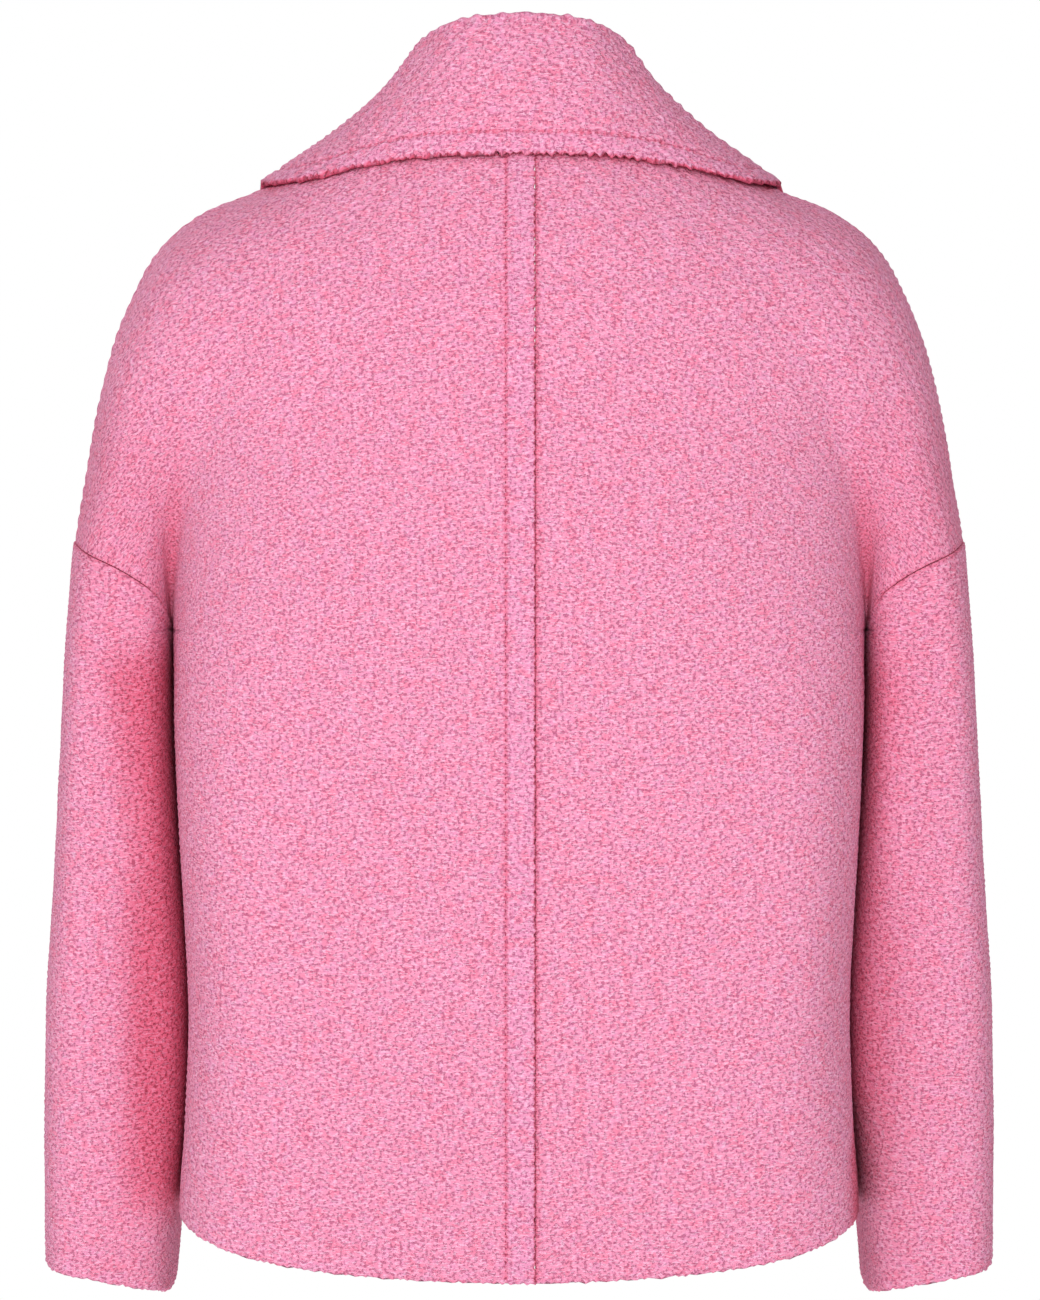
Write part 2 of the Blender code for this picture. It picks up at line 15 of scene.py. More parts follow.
import bpy  # noqa: E402
import numpy as np  # noqa: E402
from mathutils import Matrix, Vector  # noqa: E402

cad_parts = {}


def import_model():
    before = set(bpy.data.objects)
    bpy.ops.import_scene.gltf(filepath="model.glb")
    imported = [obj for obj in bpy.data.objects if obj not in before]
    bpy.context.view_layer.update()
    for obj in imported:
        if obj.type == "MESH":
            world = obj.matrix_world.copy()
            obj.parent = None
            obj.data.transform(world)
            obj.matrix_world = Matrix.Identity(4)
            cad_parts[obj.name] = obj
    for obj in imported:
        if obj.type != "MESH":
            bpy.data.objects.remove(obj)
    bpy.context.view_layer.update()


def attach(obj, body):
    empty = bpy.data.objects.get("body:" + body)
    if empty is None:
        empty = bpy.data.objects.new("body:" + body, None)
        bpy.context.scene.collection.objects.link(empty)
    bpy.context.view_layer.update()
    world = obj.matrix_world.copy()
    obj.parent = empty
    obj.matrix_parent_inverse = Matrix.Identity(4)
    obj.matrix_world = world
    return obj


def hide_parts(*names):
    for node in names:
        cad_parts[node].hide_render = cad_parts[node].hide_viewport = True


Array = np.ndarray
Level = Callable[[Array], Array]
LOG = logging.getLogger("pea_coat")


class Side(Enum):
    """Back or front of the coat, with the sign of Y there."""

    BACK = 1.0
    FRONT = -1.0


class Hand(Enum):
    """The wearer's left or right, with the sign of X there."""

    LEFT = 1.0
    RIGHT = -1.0


class Held(Enum):
    HUNG = "hung"
    FOLDED = "folded"


# ---------------------------------------------------------------- small numpy helpers


def unit(v: Array) -> Array:
    """Vectors at length 1."""
    return v / np.maximum(np.linalg.norm(v, axis=-1, keepdims=True), 1e-12)


def ramp(t: Array) -> Array:
    """Smooth step from 0 to 1: 3t^2 - 2t^3."""
    t = np.clip(t, 0.0, 1.0)
    return t * t * (3 - 2 * t)


def arch(x: Array, half: Array, power: Array | float) -> Array:
    """Height of a squared half ellipse of height 1: (1 - |x / half|^power)^(1 / power)."""
    return np.clip(1 - np.abs(x / half) ** power, 0, 1) ** (1 / power)


def mirrored(points: Array) -> Array:
    """Points with X turned round."""
    return points * (-1, 1, 1)


def resampled(lines: Array, shares: Array) -> Array:
    """Each line of points read at shares of its own length.

    Args:
        lines: rows x points x 3.
        shares: rows x places, each from 0 to 1.

    Returns:
        rows x places x 3.
    """
    steps = np.linalg.norm(np.diff(lines, axis=1), axis=-1)
    run = np.concatenate([np.zeros((len(lines), 1)), np.cumsum(steps, axis=1)], axis=1)
    run /= run[:, -1:]
    found = np.empty(shares.shape + (3,))
    for row, (line, length, places) in enumerate(zip(lines, run, shares)):
        for axis in range(3):
            found[row, :, axis] = np.interp(places, length, line[:, axis])
    return found


@dataclass(frozen=True)
class SmoothTable:
    """A short table of sizes, read as smooth curves through its rows."""

    columns: tuple[str, ...]
    rows: tuple[tuple[float, ...], ...]

    def read(self, name: str, at: Array) -> Array:
        """The named column at these places of the first one: cubic, each row's slope averaged."""
        rows = np.asarray(self.rows, float)
        knots, values = rows[:, 0], rows[:, self.columns.index(name)]
        slopes = np.gradient(values, knots)
        at = np.clip(at, knots[0], knots[-1])
        k = np.clip(np.searchsorted(knots, at, side="right") - 1, 0, len(knots) - 2)
        step = knots[k + 1] - knots[k]
        t = (at - knots[k]) / step
        return (
            (2 * t**3 - 3 * t**2 + 1) * values[k]
            + (t**3 - 2 * t**2 + t) * step * slopes[k]
            + (3 * t**2 - 2 * t**3) * values[k + 1]
            + (t**3 - t**2) * step * slopes[k + 1]
        )


def mesh_object(
    name: str, points: Array, quads: Array, triangles: Array, flat: Array | None,
    marks: dict[str, Array], finish: bpy.types.Material,
) -> bpy.types.Object:
    """A mesh object from whole arrays, turned so that its faces point outwards.

    Args:
        name: the object's name.
        points: all points; those that no face uses are left out.
        quads: faces x 4 point numbers.
        triangles: faces x 3 point numbers.
        flat: UV places of all corners, quads first, or nothing.
        marks: named values for each point, kept as attributes.
        finish: the material.
    """
    corners = np.concatenate([quads.ravel(), triangles.ravel()])
    used, corners = np.unique(corners, return_inverse=True)
    points = points[used]
    sizes = np.concatenate([np.full(len(quads), 4), np.full(len(triangles), 3)])
    starts = np.concatenate([[0], np.cumsum(sizes)[:-1]])
    mesh = bpy.data.meshes.new(name)
    mesh.vertices.add(len(points))
    mesh.vertices.foreach_set("co", points.astype(np.float32).ravel())
    mesh.loops.add(len(corners))
    mesh.loops.foreach_set("vertex_index", corners.astype(np.int32))
    mesh.polygons.add(len(sizes))
    mesh.polygons.foreach_set("loop_start", starts.astype(np.int32))
    mesh.polygons.foreach_set("loop_total", sizes.astype(np.int32))
    if flat is not None:
        mesh.uv_layers.new(name="flat_pattern").data.foreach_set("uv", flat.astype(np.float32).ravel())
    for mark, values in marks.items():
        mesh.attributes.new(mark, "FLOAT", "POINT").data.foreach_set("value", values[used].astype(np.float32))
    mesh.update(calc_edges=True)
    mesh.validate()
    a, b, c = (points[corners[starts + k]] for k in range(3))
    centre = points.mean(0)
    if flat is not None and np.einsum("ij,ij->", a - centre, np.cross(b - centre, c - centre)) < 0:
        mesh.flip_normals()
    mesh.shade_smooth()
    mesh.materials.append(finish)
    thing = bpy.data.objects.new(name, mesh)
    bpy.context.scene.collection.objects.link(thing)
    return thing


# ---------------------------------------------------------------- the form under the cloth


@dataclass(frozen=True)
class CoatForm:
    """The filled-out form that all the cloth lies on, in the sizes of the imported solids.

    A level is named by its distance along shoulder and arm from the neck point. At each level the torso
    is a squared ellipse and so is the arm beside it. Above the armpit they are joined by a power mean.
    """

    wall: float = 0.003
    seam: float = 0.0003
    neck_seam: float = 0.0005
    mid_y: float = -0.075
    armpit: float = 0.354
    hem: float = 0.7035
    cuff: float = 0.7155
    armhole_top: float = 0.3035
    hem_rise: float = 0.0185
    hem_corner: float = 0.011
    cuff_swing: float = 0.0105
    arm_square: float = 2.7
    sleeve_square: float = 4.4
    valley_power: float = 6.0
    lap: float = 0.065
    break_level: float = 0.262
    neck_edge_x: float = 0.078
    lap_raise: float = 0.0038
    outline: SmoothTable = SmoothTable(
        (
            "along", "ridge_x", "ridge_z", "back_z", "back_y", "front_z", "front_y",
            "torso_x", "arm_x", "arm_deep", "arm_y", "square",
        ),
        (
            (0.0000, 0.0880, 0.0070, 0.0000, 0.0000, -0.0900, -0.137, 0.0880, 0.040, 0.045, -0.075, 2.2),
            (0.0350, 0.1150, -0.0150, -0.0240, 0.0120, -0.1080, -0.152, 0.1150, 0.060, 0.050, -0.075, 2.3),
            (0.0706, 0.1470, -0.0310, -0.0460, 0.0210, -0.1250, -0.165, 0.1470, 0.085, 0.056, -0.075, 2.4),
            (0.1025, 0.1764, -0.0430, -0.0660, 0.0280, -0.1380, -0.173, 0.1764, 0.110, 0.062, -0.075, 2.5),
            (0.1252, 0.1946, -0.0565, -0.0800, 0.0315, -0.1460, -0.177, 0.1946, 0.124, 0.067, -0.075, 2.55),
            (0.1411, 0.2047, -0.0688, -0.0900, 0.0350, -0.1520, -0.180, 0.2047, 0.133, 0.070, -0.075, 2.6),
            (0.1632, 0.2150, -0.0884, -0.1050, 0.0380, -0.1600, -0.183, 0.2150, 0.143, 0.073, -0.075, 2.65),
            (0.1844, 0.2232, -0.1080, -0.1210, 0.0410, -0.1680, -0.186, 0.2205, 0.151, 0.077, -0.075, 2.7),
            (0.2048, 0.2288, -0.1276, -0.1370, 0.0435, -0.1750, -0.189, 0.2175, 0.158, 0.080, -0.075, 2.75),
            (0.2448, 0.2369, -0.1668, -0.1690, 0.0480, -0.1920, -0.194, 0.2070, 0.169, 0.084, -0.075, 2.8),
            (0.2646, 0.2400, -0.1864, -0.1864, 0.0500, -0.2020, -0.196, 0.2015, 0.175, 0.086, -0.075, 3.1),
            (0.3042, 0.2458, -0.2256, -0.2256, 0.0540, -0.2256, -0.200, 0.1950, 0.185, 0.088, -0.075, 3.6),
            (0.3540, 0.2496, -0.2750, -0.2750, 0.0580, -0.2750, -0.204, 0.1910, 0.191, 0.088, -0.075, 4.4),
            (0.4026, 0.2531, -0.3236, -0.3236, 0.0590, -0.3236, -0.206, 0.1898, 0.1915, 0.085, -0.078, 5.2),
            (0.4810, 0.2579, -0.4020, -0.4020, 0.0600, -0.4020, -0.207, 0.1858, 0.1876, 0.079, -0.083, 6.0),
            (0.5594, 0.2635, -0.4804, -0.4804, 0.0580, -0.4804, -0.205, 0.1820, 0.1837, 0.073, -0.087, 6.0),
            (0.6280, 0.2653, -0.5490, -0.5490, 0.0550, -0.5490, -0.202, 0.1843, 0.1861, 0.068, -0.090, 6.0),
            (0.6770, 0.2656, -0.5980, -0.5980, 0.0515, -0.5980, -0.199, 0.1868, 0.1910, 0.066, -0.092, 5.8),
            (0.7290, 0.2650, -0.6500, -0.6500, 0.0470, -0.6500, -0.195, 0.1885, 0.1955, 0.064, -0.093, 5.6),
        ),
    )

    def size(self, name: str, along: Array) -> Array:
        """A named size of the form at these levels."""
        return self.outline.read(name, along)

    def torso_half(self, along: Array) -> Array:
        """Half the torso's width, which never passes the ridge of shoulder and arm."""
        return np.minimum(self.size("torso_x", along), self.size("ridge_x", along))

    def torso_height(self, x: Array, along: Array, side: Array | float) -> Array:
        """The torso's distance from the side seams' plane: depth * arch(x)."""
        deep = np.where(
            np.asarray(side) > 0,
            self.size("back_y", along) - self.mid_y,
            self.mid_y - self.size("front_y", along),
        )
        return deep * arch(x, self.torso_half(along), self.size("square", along))

    def arm_height(self, x: Array, along: Array) -> Array:
        """The arm's distance from that plane: depth * arch(x) about the arm's own middle."""
        inner, outer = self.size("arm_x", along), self.size("ridge_x", along)
        middle, half = (inner + outer) / 2, (outer - inner) / 2
        square = self.arm_square + (self.sleeve_square - self.arm_square) * ramp((along - 0.26) / 0.12)
        return self.size("arm_deep", along) * arch(x - middle, half, square)

    def body_point(self, x: Array, along: Array, side: Array | float) -> Array:
        """The form at half width x: (torso^p + arm^p)^(1/p) above the armpit, the torso alone below."""
        side = np.asarray(side, float)
        height = self.torso_height(x, along, side)
        power = self.valley_power
        joined = (height**power + self.arm_height(x, along) ** power) ** (1 / power)
        height = np.where(along <= self.armpit, joined, height)
        deep = self.torso_height(0 * x, along, side)
        ridge = self.size("ridge_z", along)
        end = np.where(side > 0, self.size("back_z", along), self.size("front_z", along))
        share = x / self.torso_half(along)
        lift = self.hem_rise * share**2 + self.hem_corner * share**8
        lift = lift * ramp((along - self.hem) / 0.09 + 1)
        z = ridge + (end - ridge) * height / deep + np.where(along > self.armpit, lift, 0)
        return np.stack(np.broadcast_arrays(x, self.mid_y + side * height, z), -1)

    def arm_point(self, x: Array, along: Array, side: float) -> Array:
        """The arm: the joined form above the armpit, the sleeve's own ellipse below it."""
        y = self.size("arm_y", along) + side * self.arm_height(x, along)
        sleeve = np.stack(np.broadcast_arrays(x, y, self.size("ridge_z", along)), -1)
        return np.where((along <= self.armpit)[..., None], self.body_point(x, along, side), sleeve)

    def armhole(self, share: Array) -> Array:
        """Level of the armhole seam, from the armpit (share 0) to the outside of the arm (share 1)."""
        drop = (1 - share) ** 4.3
        return self.armhole_top + (self.armpit - self.armhole_top) * drop

    def cuff_level(self, share: Array) -> Array:
        """Level of the cuff, lowest beside the body: cuff + swing * cos(pi * share)."""
        return self.cuff + self.cuff_swing * np.cos(np.pi * share)

    def front_edge(self, along: Array) -> Array:
        """The front's edge: the roll line from the neck to the break, then straight down."""
        turned = np.clip(along / self.break_level, 0, 1)
        return self.neck_edge_x - (self.neck_edge_x + self.lap) * turned

    def top_front_raise(self, x: Array, along: Array) -> Array:
        """How far the top front lies off the one under it, as far out as that one reaches."""
        return self.lap_raise * (1 - ramp((x + self.front_edge(along) - 0.006) / 0.022))

    def front_surface(self, x: Array, along: Array) -> tuple[Array, Array]:
        """Point and outward direction on a left front at half width x."""
        step = 0.0005
        point = self.body_point(x, along, -1.0)
        across = self.body_point(x + step, along, -1.0) - self.body_point(x - step, along, -1.0)
        down = self.body_point(x, along + step, -1.0) - self.body_point(x, along - step, -1.0)
        return point, unit(-np.cross(across, down))


@dataclass
class HalfForm:
    """One half of the back or front as two tables of points: torso to the valley, arm from there out.

    Each row is a level, its points evenly spaced along the cloth.
    """

    form: CoatForm
    side: Side
    start_x: Level
    levels_each: int = 170
    points: int = 240
    before_armpit: float = 0.030
    past_armpit: float = 0.100
    blurred: int = 10
    loose: float = 0.24
    levels: Array = field(init=False)
    torso: Array = field(init=False)
    arm: Array = field(init=False)
    torso_out: Array = field(init=False)
    arm_out: Array = field(init=False)
    torso_length: Array = field(init=False)
    arm_length: Array = field(init=False)

    def __post_init__(self) -> None:
        """Works out the tables."""
        form, side = self.form, self.side.value
        above = np.linspace(0, form.armpit, self.levels_each)
        below = np.linspace(form.armpit, form.outline.rows[-1][0], self.levels_each)[1:]
        self.levels = np.concatenate([above, below])
        along = self.levels[:, None]
        start, ridge = self.start_x(along), form.size("ridge_x", along)
        inner, torso = form.size("arm_x", along), form.torso_half(along)
        probe = inner + (torso - inner) * np.linspace(0, 1, 200)
        lead = (form.torso_height(probe, along, side) - form.arm_height(probe, along)) / 0.004 + 0.5
        crossing = inner + (torso - inner) * np.clip(lead, 0, 1).mean(axis=1, keepdims=True)
        crossing = crossing + (torso - crossing) * ramp((along - form.armpit) / 0.045 + 1)
        top = start + 0.8 * (ridge - start)
        blend = ramp((along - 0.15) / 0.10)
        valley = np.where(along <= form.armpit, top + (crossing - top) * blend, torso)
        arm_start = np.where(along <= form.armpit, valley, inner)
        t = np.linspace(0, 1, 400)
        torso_x = start + (valley - start) * np.sin(t * np.pi / 2)
        arm_x = arm_start + (ridge - arm_start) * (1 - np.cos(t * np.pi)) / 2
        self.torso, self.torso_length = self.even(form.body_point(torso_x, along, side))
        arm, self.arm_length = self.even(form.arm_point(arm_x, along, side)[:, ::-1])
        self.arm = arm[:, ::-1]
        self.torso_out, self.arm_out = self.outward(self.torso), self.outward(self.arm)

    def even(self, lines: Array) -> tuple[Array, Array]:
        """Each line at equal steps of a length that changes slowly from level to level.

        The slow length is the line's own, bridged straight across the armpit, where that jumps. The
        difference falls to the line's last `loose` share, as difference * ramp, so that the columns
        before it run straight on.

        Returns:
            The points, and the slow length of each line.
        """
        length = np.linalg.norm(np.diff(lines, axis=1), axis=-1).sum(axis=1)
        from_armpit = self.levels - self.form.armpit
        steady = (from_armpit < -self.before_armpit) | (from_armpit > self.past_armpit)
        bridged = np.interp(self.levels, self.levels[steady], length[steady])
        width = 2 * self.blurred + 1
        padded = np.pad(bridged, self.blurred, mode="reflect", reflect_type="odd")
        window = np.hanning(width + 2)[1:-1]
        slow = np.convolve(padded, window / window.sum(), mode="valid")
        share = np.linspace(0, 1, self.points)
        place = share * slow[:, None] + (length - slow)[:, None] * ramp((share - 1) / self.loose + 1)
        return resampled(lines, place / length[:, None]), slow

    def outward(self, table: Array) -> Array:
        """Directions out of the coat at each point of a table: across x down, apart above and below the armpit."""
        parts = np.split(table, [self.levels_each - 1])
        down = np.concatenate([np.gradient(part, axis=0) for part in parts])
        return unit(self.side.value * np.cross(np.gradient(table, axis=1), down))

    def read(self, table: Array, along: Array, share: Array) -> Array:
        """A table between its rows and columns, by straight interpolation."""
        row = np.interp(along, self.levels, np.arange(len(self.levels)))
        column = np.clip(share, 0, 1) * (table.shape[1] - 1)
        r = np.clip(row.astype(int), 0, table.shape[0] - 2)
        c = np.clip(column.astype(int), 0, table.shape[1] - 2)
        fr, fc = (row - r)[..., None], (column - c)[..., None]
        upper = table[r, c] * (1 - fc) + table[r, c + 1] * fc
        lower = table[r + 1, c] * (1 - fc) + table[r + 1, c + 1] * fc
        return upper * (1 - fr) + lower * fr

    def length(self, lengths: Array, along: Array) -> Array:
        """A length of torso or arm rows at these levels."""
        return np.interp(along, self.levels, lengths)


# ---------------------------------------------------------------- weave, creases, stitching


@dataclass(frozen=True)
class BasketWeave:
    """The repeat of the cloth, on its flat pattern in metres: u to the right, v up, seen from outside.

    The cells are a checkerboard of two kinds, so the whole repeat is `right` + `up` and `right` - `up`.
    """

    right: tuple[float, float] = (0.004455, 0.00162)
    up: tuple[float, float] = (0.000405, 0.00486)
    relief: float = 0.0006

    @property
    def waves(self) -> Array:
        """The two rows that count cells along `right` and `up`: the inverse of the matrix [right up]."""
        return np.linalg.inv(np.array([self.right, self.up]).T)

    def height(self, flat: Array) -> Array:
        """Relief of the blocks, about -1 to 1.

        Three waves of the whole repeat, cos(pi (s + t)), cos(pi (s - t)) and cos(2 pi t), whose phases
        drift and whose strength swells slowly, s and t being the counts of cells.
        """
        u, v = flat[..., 0], flat[..., 1]
        drift = np.stack([np.sin(u / 0.0131 + 1.3 * np.sin(v / 0.0197)) + np.sin(v / 0.0109 + u / 0.031),
                          np.sin(v / 0.0147 + 1.1 * np.sin(u / 0.0173)) + np.sin(u / 0.0119 - v / 0.027)], -1)
        s, t = np.moveaxis((flat + 0.00042 * drift) @ self.waves.T, -1, 0)
        swell = 0.75 + 0.35 * np.sin(u / 0.0083 + 1.7 * np.sin(v / 0.0121))
        blocks = np.cos(np.pi * (s + t) + 0.4) * 0.45 + np.cos(np.pi * (s - t) - 0.7) * 0.4
        return swell * (blocks + 0.2 * np.cos(2 * np.pi * t + 1.1))


@dataclass(frozen=True)
class Crease:
    """A soft trough along a line on the cloth, or a ridge where its depth is below 0."""

    start: tuple[float, float, float]
    end: tuple[float, float, float]
    width: float
    depth: float

    def height(self, points: Array) -> Array:
        """-depth * exp(-(d / width)^2) * (1 - |2t - 1|^3): d from the line, t the place along it."""
        start, line = np.array(self.start), np.array(self.end) - np.array(self.start)
        t = np.clip((points - start) @ line / (line @ line), 0, 1)
        away = np.linalg.norm(points - (start + t[..., None] * line), axis=-1)
        return -self.depth * np.exp(-((away / self.width) ** 2)) * (1 - np.abs(2 * t - 1) ** 3)


@dataclass(frozen=True)
class Stitching:
    """A line of topstitching that pulls the cloth in: a groove with a dimple at every stitch."""

    pitch: float = 0.0044
    depth: float = 0.0011
    half_width: float = 0.0014
    thread: float = 0.00062
    length: float = 0.0026
    sunk: float = 0.00040

    def groove(self, away: Array, run: Array) -> Array:
        """-depth * exp(-(away / half_width)^2) * (0.62 + 0.38 cos(2 pi run / pitch))."""
        dimple = 0.62 + 0.38 * np.cos(2 * np.pi * run / self.pitch)
        return -self.depth * np.exp(-((away / self.half_width) ** 2)) * dimple

    def stitch(self) -> tuple[Array, Array, Array]:
        """One stitch: a small spindle from -1 to 1 along its thread.

        Returns:
            Its points as (along, sideways, out) in shares of half the length and of the radius, its
            triangles and its quads.
        """
        sides = 6
        angle = 2 * np.pi * np.arange(sides) / sides
        rings = [[(t, r * np.cos(a), r * np.sin(a)) for a in angle] for t, r in ((-0.6, 0.85), (0.0, 1.0), (0.6, 0.85))]
        points = np.array([p for ring in rings for p in ring] + [(-1.0, 0.0, 0.0), (1.0, 0.0, 0.0)])
        k, after = np.arange(sides), (np.arange(sides) + 1) % sides
        quads = np.concatenate([np.stack([r + k, r + after, r + sides + after, r + sides + k], -1) for r in (0, sides)])
        ends = [np.stack([after, k, k * 0 + 18], -1), np.stack([12 + k, 12 + after, k * 0 + 19], -1)]
        return points, np.concatenate(ends), quads

    def sew(self, name: str, path: Array, out: Array, finish: bpy.types.Material) -> bpy.types.Object:
        """All stitches along a line on the cloth, in one mesh.

        Args:
            name: the new object's name.
            path: close points along the line, on the cloth.
            out: directions out of the cloth there.
            finish: the thread's material.
        """
        run = np.concatenate([[0], np.cumsum(np.linalg.norm(np.diff(path, axis=0), axis=1))])
        at = np.arange(0.5, run[-1] / self.pitch - 0.5) * self.pitch
        centre, normal = (np.stack([np.interp(at, run, line[:, k]) for k in range(3)], -1) for line in (path, out))
        ahead = unit(np.stack([np.interp(at, run, line) for line in np.gradient(path, axis=0).T], -1))
        normal = unit(normal - ahead * (normal * ahead).sum(-1, keepdims=True))
        side = np.cross(normal, ahead)
        shape, triangles, quads = self.stitch()
        long, thick, sunk = shape[:, 0] * self.length / 2, shape[:, 1:] * self.thread, shape[:, 0] ** 2 * self.thread
        points = (
            centre[:, None] + ahead[:, None] * long[:, None] + side[:, None] * thick[:, :1]
            + normal[:, None] * (thick[:, 1] - sunk - self.sunk)[:, None]
        )
        step = (np.arange(len(at)) * len(shape))[:, None, None]
        return mesh_object(
            name, points.reshape(-1, 3), (quads + step).reshape(-1, 4), (triangles + step).reshape(-1, 3), None, {}, finish
        )


@dataclass(frozen=True)
class Edge:
    """One edge of a piece: its distance at every grid point, and how the cloth ends there."""

    distance: Array
    axis: int
    sign: float
    roll: float
    scallop: float = 0.0
    # shade and reach: painted shade beside the edge, its strength and its width.
    shade: float = 0.55
    reach: float = 0.0028
    closing: float = 0.0
    pitch: float = 0.0049

    def sunk(self) -> Array:
        """How far a rolled edge turns in: r - sqrt(r^2 - (r - d)^2) for d below r."""
        short = np.clip(self.roll - self.distance, 0, self.roll)
        return self.roll - np.sqrt(np.maximum(self.roll**2 - short**2, 0))

    def shift(self, points: Array, height: Array) -> Array:
        """The scalloped edge, moved in the cloth's own plane.

        It goes by 0.6 cos(2 pi run / pitch + drift) + 0.55 of the weave's height, fading inwards.
        """
        if not self.scallop and not self.closing:
            return np.zeros_like(points)
        outwards = self.sign * unit(np.gradient(points, axis=self.axis))
        near = np.exp(-np.maximum(self.distance, 0) / 0.0028)
        along = 1 - self.axis
        run = np.cumsum(np.linalg.norm(np.diff(points, axis=along, prepend=points.take([0], along)), axis=-1), axis=along)
        waves = 0.6 * np.cos(2 * np.pi * run / self.pitch + 1.9 * np.sin(run / 0.0117) + 1.3 * np.sin(run / 0.0291))
        return outwards * ((self.scallop * (waves + 0.55 * height) + self.closing) * near)[..., None]


@dataclass(frozen=True)
class Steps:
    """Places of grid lines along a length from 0 to 1, and which of them the inside keeps."""

    share: Array
    kept: Array

    @classmethod
    def spread(cls, length: float, spacing: float, start: Sequence[float], end: Sequence[float]) -> "Steps":
        """Even steps between close ones at both ends.

        Args:
            length: the whole length in metres.
            spacing: the even steps' size.
            start: distances of the first lines from the start, 0 among them.
            end: distances of the last lines from the end, 0 among them.

        Returns:
            The steps, whose even part has a multiple of 4.
        """
        near, far = np.sort(start), np.sort(end)[::-1]
        count = 4 * max(1, round((length - near[-1] - far[0]) / spacing / 4))
        even = np.linspace(near[-1], length - far[0], count + 1)
        places = np.concatenate([near[:-1], even, length - far[1:]])
        kept = np.concatenate([[0], len(near) - 1 + np.arange(0, count + 1, 4), [len(places) - 1]])
        return cls(places / length, np.unique(kept))


def rolled(radius: float) -> tuple[float, ...]:
    """Distances of the close grid lines that draw a rolled edge of this radius."""
    return (0.0, 0.1 * radius, 0.38 * radius, radius)


# ---------------------------------------------------------------- cloth shells


@dataclass
class ClothGrid:
    """A piece of cloth as grids of points: rows run down or out, columns across.

    An L-shaped piece keeps its columns past `split` only down to `corner_row`. A ring's last column
    repeats its first.
    """

    points: Array
    out: Array
    edges: tuple[Edge, ...]
    rows_kept: Array
    columns_kept: Array
    rows_at: Array
    columns_at: Array
    raised: Array | float = 0.0
    lifted: Array | float = 0.0
    groove: Array | float = 0.0
    # shade: painted shade at each point, 0 to 1 towards crimson, 1 to 2 on towards maroon.
    shade: Array | float = 0.0
    cool: Array | float = 0.0
    foot: Array | None = None
    corner_row: int | None = None
    split: int | None = None
    ring: bool = False

    def quads_kept(self, rows: Array, columns: Array) -> Array:
        """Which quads, named by their upper left point, belong to the piece."""
        if self.corner_row is None:
            return np.full(np.broadcast(rows, columns).shape, True)
        return (rows < self.corner_row) | (columns < self.split)

    def quads(self, rows: Array, columns: Array) -> Array:
        """Quads between these grid lines, as row and column of each corner: quads x 4 x 2."""
        r, c = np.meshgrid(np.arange(len(rows) - 1), np.arange(len(columns) - 1), indexing="ij")
        kept = self.quads_kept(rows[r], columns[c])
        r, c = r[kept], c[kept]
        corners = ((r, c), (r, c + 1), (r + 1, c + 1), (r + 1, c))
        return np.stack([np.stack([rows[a], columns[b]], -1) for a, b in corners], axis=1)

    def borders(self) -> list[Array]:
        """The piece's border as closed loops of (row, column), in the quads' own turning sense."""
        last_row, last_column = self.points.shape[0] - 1, self.points.shape[1] - 1

        def leg(r0: int, c0: int, r1: int, c1: int) -> Array:
            """Grid points from one corner up to, but not with, the next."""
            count = max(abs(r1 - r0), abs(c1 - c0))
            return np.stack([np.linspace(r0, r1, count + 1)[:-1], np.linspace(c0, c1, count + 1)[:-1]], -1)

        if self.ring:
            loops = [[(0, 0), (0, last_column)], [(last_row, last_column), (last_row, 0)]]
            return [np.rint(leg(*a, *b)).astype(int) for a, b in loops]
        corners = [(0, 0), (0, last_column), (last_row, last_column), (last_row, 0)]
        if self.corner_row is not None:
            corners[2:3] = [(self.corner_row, last_column), (self.corner_row, self.split), (last_row, self.split)]
        legs = [leg(*a, *b) for a, b in zip(corners, corners[1:] + corners[:1])]
        return [np.rint(np.concatenate(legs)).astype(int)]


